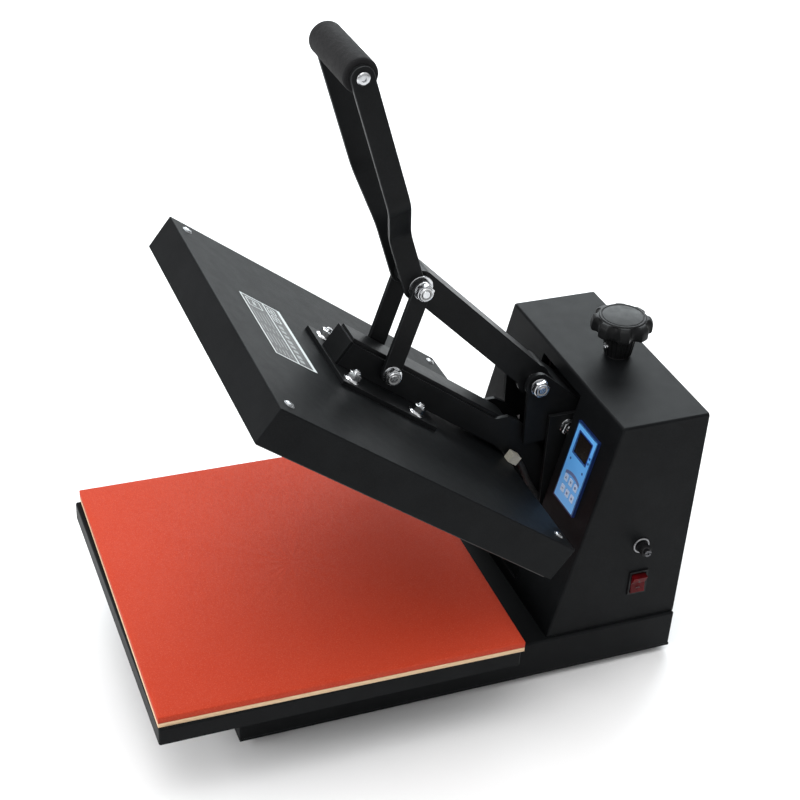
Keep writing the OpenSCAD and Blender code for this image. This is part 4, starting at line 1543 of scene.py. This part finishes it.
@dataclass
class UpperPlaten:
    """Cover, bracket, arm, hot plate and the lead."""

    cover_top: float = 161.5
    bracket_top: float = 166.5
    stud_x: float = 42.0
    stud_y: Point2 = (-153.0, -64.0)
    screw_x: float = 171.0
    screw_y: Point2 = (-284.0, 75.0)
    label: tuple[float, float, float, float] = (-64.0, -254.0, 58.0, -201.0)
    lead_r: float = 3.5
    lead_path: tuple[tuple[float, float, float], ...] = (
        (28.5, 91, 166.5), (28.5, 97, 166.5), (28.5, 105, 163.7), (28.5, 116, 158), (28.2, 128, 151),
        (28, 141, 145), (27.5, 153, 140), (27, 165, 136.5), (26.8, 184, 134),
    )

    def build(self) -> None:
        """Build every piece that swings with the upper platen."""
        sheet_piece("upper_cover", STEEL, 1.3, 0.3, 3)
        sheet_piece("platen_bracket", PLATE_STEEL, 0.0, 0.6)
        sheet_piece("lower_arm", PLATE_STEEL, 1.6, 0.4)
        sheet_piece("arm_cheeks", PLATE_STEEL, 0.0, 0.6)
        sheet_piece("heat_platen", NON_STICK, 0.0, 0.8)
        self.bolts()
        self.cover_screws()
        self.sticker()
        self.gland_and_lead()
        for node, finish in (
            ("hinge_bushes", BRONZE), ("insulation_board", MINERAL), ("heater_element", GROUND),
            ("thermocouple", GROUND),
        ):
            dress(node, finish)

    def bolts(self) -> None:
        """Build the four flanged bolts that hold the bracket to the plate."""
        forge = Forge("platen_bolts_turned")
        for i, (x, y) in enumerate((x, y) for x in (-self.stud_x, self.stud_x) for y in self.stud_y):
            place = PLACE.platen() @ Matrix.Translation((x, y, self.bracket_top))
            forge.lathe(
                [(4, 0), (9.3, 0), (9.5, 0.25), (9.4, 0.9), (8.2, 1.7), (7.0, 2.3), (4, 2.3), (4, 0)], place,
                CHROME, 56,
            )
            seat = spun(place @ Matrix.Translation((0, 0, 2.2)), 17 + 23 * i)
            forge.hexagon(13, 6.4, seat, CHROME, 4.6)
            forge.lathe(thread(3.9, 4.5, 9.6), seat, ZINC, 36)
            forge.lathe([(0, -16), (4, -16), (4, 1), (0, 1)], place, ZINC, 24)
        forge.done("platen_bolts")

    def cover_screws(self) -> None:
        """Build the cover's four corner screws, each in a shallow dimple ring."""
        forge = Forge("cover_screws_turned")
        for x in (-self.screw_x, self.screw_x):
            for y in self.screw_y:
                place = PLACE.platen() @ Matrix.Translation((x, y, self.cover_top))
                forge.lathe([(3, 0), (5.4, 0), (5.6, 0.2), (5.2, 0.45), (3, 0.5), (3, 0)], place, DULL_RING, 40)
                screw_head(forge, place @ Matrix.Translation((0, 0, 0.25)), 4.7, 2.1, SCREW_STEEL)
        forge.done("cover_screws")

    def sticker(self) -> None:
        """Build the grey label with a printed frame, rules and blank bars."""
        x0, y0, x1, y1 = self.label
        place = PLACE.platen() @ Matrix.Translation((0, 0, self.cover_top))
        forge = Forge("cover_label_printed")
        forge.prism(round_rect(x0, y0, x1, y1, 0.8, 3), 0.14, place, LABEL_GREY)
        top = place @ Matrix.Translation((0, 0, 0.14))
        line = 1.7

        def bar(ax: float, ay: float, bx: float, by: float, ink: Finish = PRINT_WHITE) -> None:
            """Print one bar.

            Args:
                ax: Left.
                ay: Bottom.
                bx: Right.
                by: Top.
                ink: Its finish.
            """
            forge.prism([(ax, ay), (bx, ay), (bx, by), (ax, by)], 0.06, top, ink)

        rule = y0 + 29.0
        bar(x0, y0, x1, y0 + line)
        bar(x0, y1 - 4.4, x1, y1)
        bar(x0, y0 + line, x0 + line, y1 - 4.4)
        bar(x1 - line, y0 + line, x1, y1 - 4.4)
        bar(x0 + line, rule, x1 - line, rule + 1.5)
        for row in range(5):
            y = y0 + 5.0 + 4.7 * row
            for k, (a, b) in enumerate(((0.24, 0.47), (0.49, 0.60), (0.62, 0.83), (0.85, 0.96))):
                shift = 0.012 * ((row * 3 + k) % 4)
                bar(x0 + (x1 - x0) * (a + shift), y, x0 + (x1 - x0) * (b - shift), y + 0.8, PRINT_GREY)
        for k in range(8):
            start = x0 + 42 + 9.6 * k
            bar(start, rule + 5.6, start + (5.2 if k % 3 else 6.6), rule + 11.6, PRINT_GREY)
        boxes = (
            (x0 + 14.0, y0 + 14.5, 8.5, 9.0), (x0 + 12.0, rule + 9.2, 6.2, 5.0),
            (x0 + 28.0, rule + 9.2, 6.2, 5.0),
        )
        for cx, cy, w, h in boxes:
            wide, tall = (cx - w, cx + w), (cy - h, cy + h)
            hole = frame_round(wide, tall, -1.0, 0.6)[::-1]
            forge.prism(frame_round(wide, tall, 0.0, 1.2), 0.06, top, PRINT_WHITE, [hole])
            bar(cx - w / 2, cy - 1.5, cx + w / 2, cy - 0.6)
            bar(cx - w / 2, cy + 0.6, cx + w / 2, cy + 1.5)
        forge.done("cover_label", smooth=30)

    def gland_and_lead(self) -> None:
        """Build the heater lead's ceramic gland and the sleeved lead."""
        gland = Forge("lead_gland_block")
        gland.copy_node("lead_gland", CERAMIC)
        gland.done("lead_gland", rim=0.9, rims=3)
        corners = [Vector(p) for p in self.lead_path]
        points = []
        for a, b, c, d in zip([corners[0], *corners], corners, corners[1:], [*corners[2:], corners[-1]]):
            for i in range(4):
                t = i / 4
                bend = (2 * a - 5 * b + 4 * c - d) * t * t + (3 * b - a - 3 * c + d) * t ** 3
                points.append(0.5 * (2 * b + (c - a) * t + bend))
        points.append(corners[-1])
        curve = bpy.data.curves.new("heater_lead_sleeve", "CURVE")
        curve.dimensions = "3D"
        curve.bevel_depth = self.lead_r * MM
        curve.bevel_resolution = 6
        curve.use_fill_caps = True
        spline = curve.splines.new("POLY")
        spline.points.add(len(points) - 1)
        swung = PLACE.platen()
        for spot, p in zip(spline.points, points):
            spot.co = (*((swung @ p) * MM), 1)
        curve.materials.append(SLEEVE.material())
        lead = bpy.data.objects.new("heater_lead_sleeve", curve)
        bpy.context.scene.collection.objects.link(lead)
        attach(lead, "platen")
        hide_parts("heater_lead")


class Lamp(Enum):
    """The soft square lamps: spot from above, height, size, watts, aim and tint."""

    KEY = ((0.4, -0.5), 3.0, 2.4, 46.0, (0, 0, 0.2), (1.0, 1.0, 1.0))
    FRONT = ((0.2, -3.1), 1.7, 2.2, 80.0, (0, 0, 0.15), (1.0, 1.0, 1.0))
    BACK = ((-2.4, 1.5), 2.0, 2.4, 112.0, (0, 0, 0.3), (0.90, 0.97, 1.0))


@dataclass
class Studio:
    """Camera, floor and soft light."""

    place: tuple[float, float, float] = (1.3236, -0.566, 1.2554)
    azimuth: float = 68.78
    elevation: float = 33.09
    roll: float = 2.65
    lens: float = 74.55
    shift: Point2 = (0.0696, -0.0119)

    def camera(self) -> None:
        """Set up the camera from its place, its two angles and its roll."""
        az, el, ro = (math.radians(v) for v in (self.azimuth, self.elevation, self.roll))
        right = Vector((math.cos(az), math.sin(az), 0))
        back = Vector((math.sin(az) * math.cos(el), -math.cos(az) * math.cos(el), math.sin(el)))
        up = back.cross(right)
        tilted = right * math.cos(ro) + up * math.sin(ro)
        upright = up * math.cos(ro) - right * math.sin(ro)
        data = bpy.data.cameras.new("studio_camera")
        data.lens = self.lens
        data.sensor_width = 36.0
        data.shift_x, data.shift_y = self.shift
        data.clip_start, data.clip_end = 0.05, 60
        camera = bpy.data.objects.new("studio_camera", data)
        turn = Matrix((tilted, upright, back)).transposed().to_4x4()
        camera.matrix_world = Matrix.Translation(self.place) @ turn
        bpy.context.scene.collection.objects.link(camera)
        bpy.context.scene.camera = camera

    def floor(self) -> None:
        """Lay a wide pale floor."""
        mesh = bpy.data.meshes.new("floor")
        bm = bmesh.new()
        bmesh.ops.create_grid(bm, x_segments=8, y_segments=8, size=14.0)
        bm.to_mesh(mesh)
        bm.free()
        mesh.materials.append(FLOOR.material())
        floor = bpy.data.objects.new("floor", mesh)
        bpy.context.scene.collection.objects.link(floor)

    def hang(self, lamp: Lamp) -> None:
        """Hang one soft square lamp."""
        at, height, size, power, aim, tint = lamp.value
        data = bpy.data.lights.new(lamp.name.lower(), "AREA")
        data.shape = "SQUARE"
        data.size = size
        data.energy = power
        data.color = tint
        light = bpy.data.objects.new(lamp.name.lower(), data)
        light.location = Vector((*at, height))
        light.rotation_mode = "QUATERNION"
        light.rotation_quaternion = (Vector(aim) - light.location).to_track_quat("-Z", "Y")
        bpy.context.scene.collection.objects.link(light)

    def build(self) -> None:
        """Set camera, floor, lamps and the sky's even fill."""
        self.camera()
        self.floor()
        for lamp in Lamp:
            self.hang(lamp)
        world = bpy.data.worlds.new("studio")
        world.use_nodes = True
        nodes, links = world.node_tree.nodes, world.node_tree.links
        axes = nodes.new("ShaderNodeSeparateXYZ")
        links.new(nodes.new("ShaderNodeTexCoord").outputs["Generated"], axes.inputs[0])
        rise = nodes.new("ShaderNodeMapRange")
        for name, value in (("From Min", 0.0), ("From Max", 0.7), ("To Min", 0.34), ("To Max", 0.85)):
            rise.inputs[name].default_value = value
        links.new(axes.outputs["Z"], rise.inputs["Value"])
        sky = nodes["Background"]
        sky.inputs["Color"].default_value = (1.0, 1.0, 1.0, 1)
        links.new(rise.outputs[0], sky.inputs["Strength"])
        bpy.context.scene.world = world
        bpy.context.scene.view_settings.view_transform = "Standard"


def main() -> None:
    """Build the whole press, then the studio round it."""
    logging.basicConfig(level=logging.INFO, format="%(name)s: %(message)s")
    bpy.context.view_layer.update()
    Studio().build()
    for part in (BaseAndTray(), Column(), ControlPanel(), PressureGear(), Handle(), ToggleLinks(), UpperPlaten()):
        part.build()
        log.info("%s built", type(part).__name__)


if __name__ == "__main__":
    main()
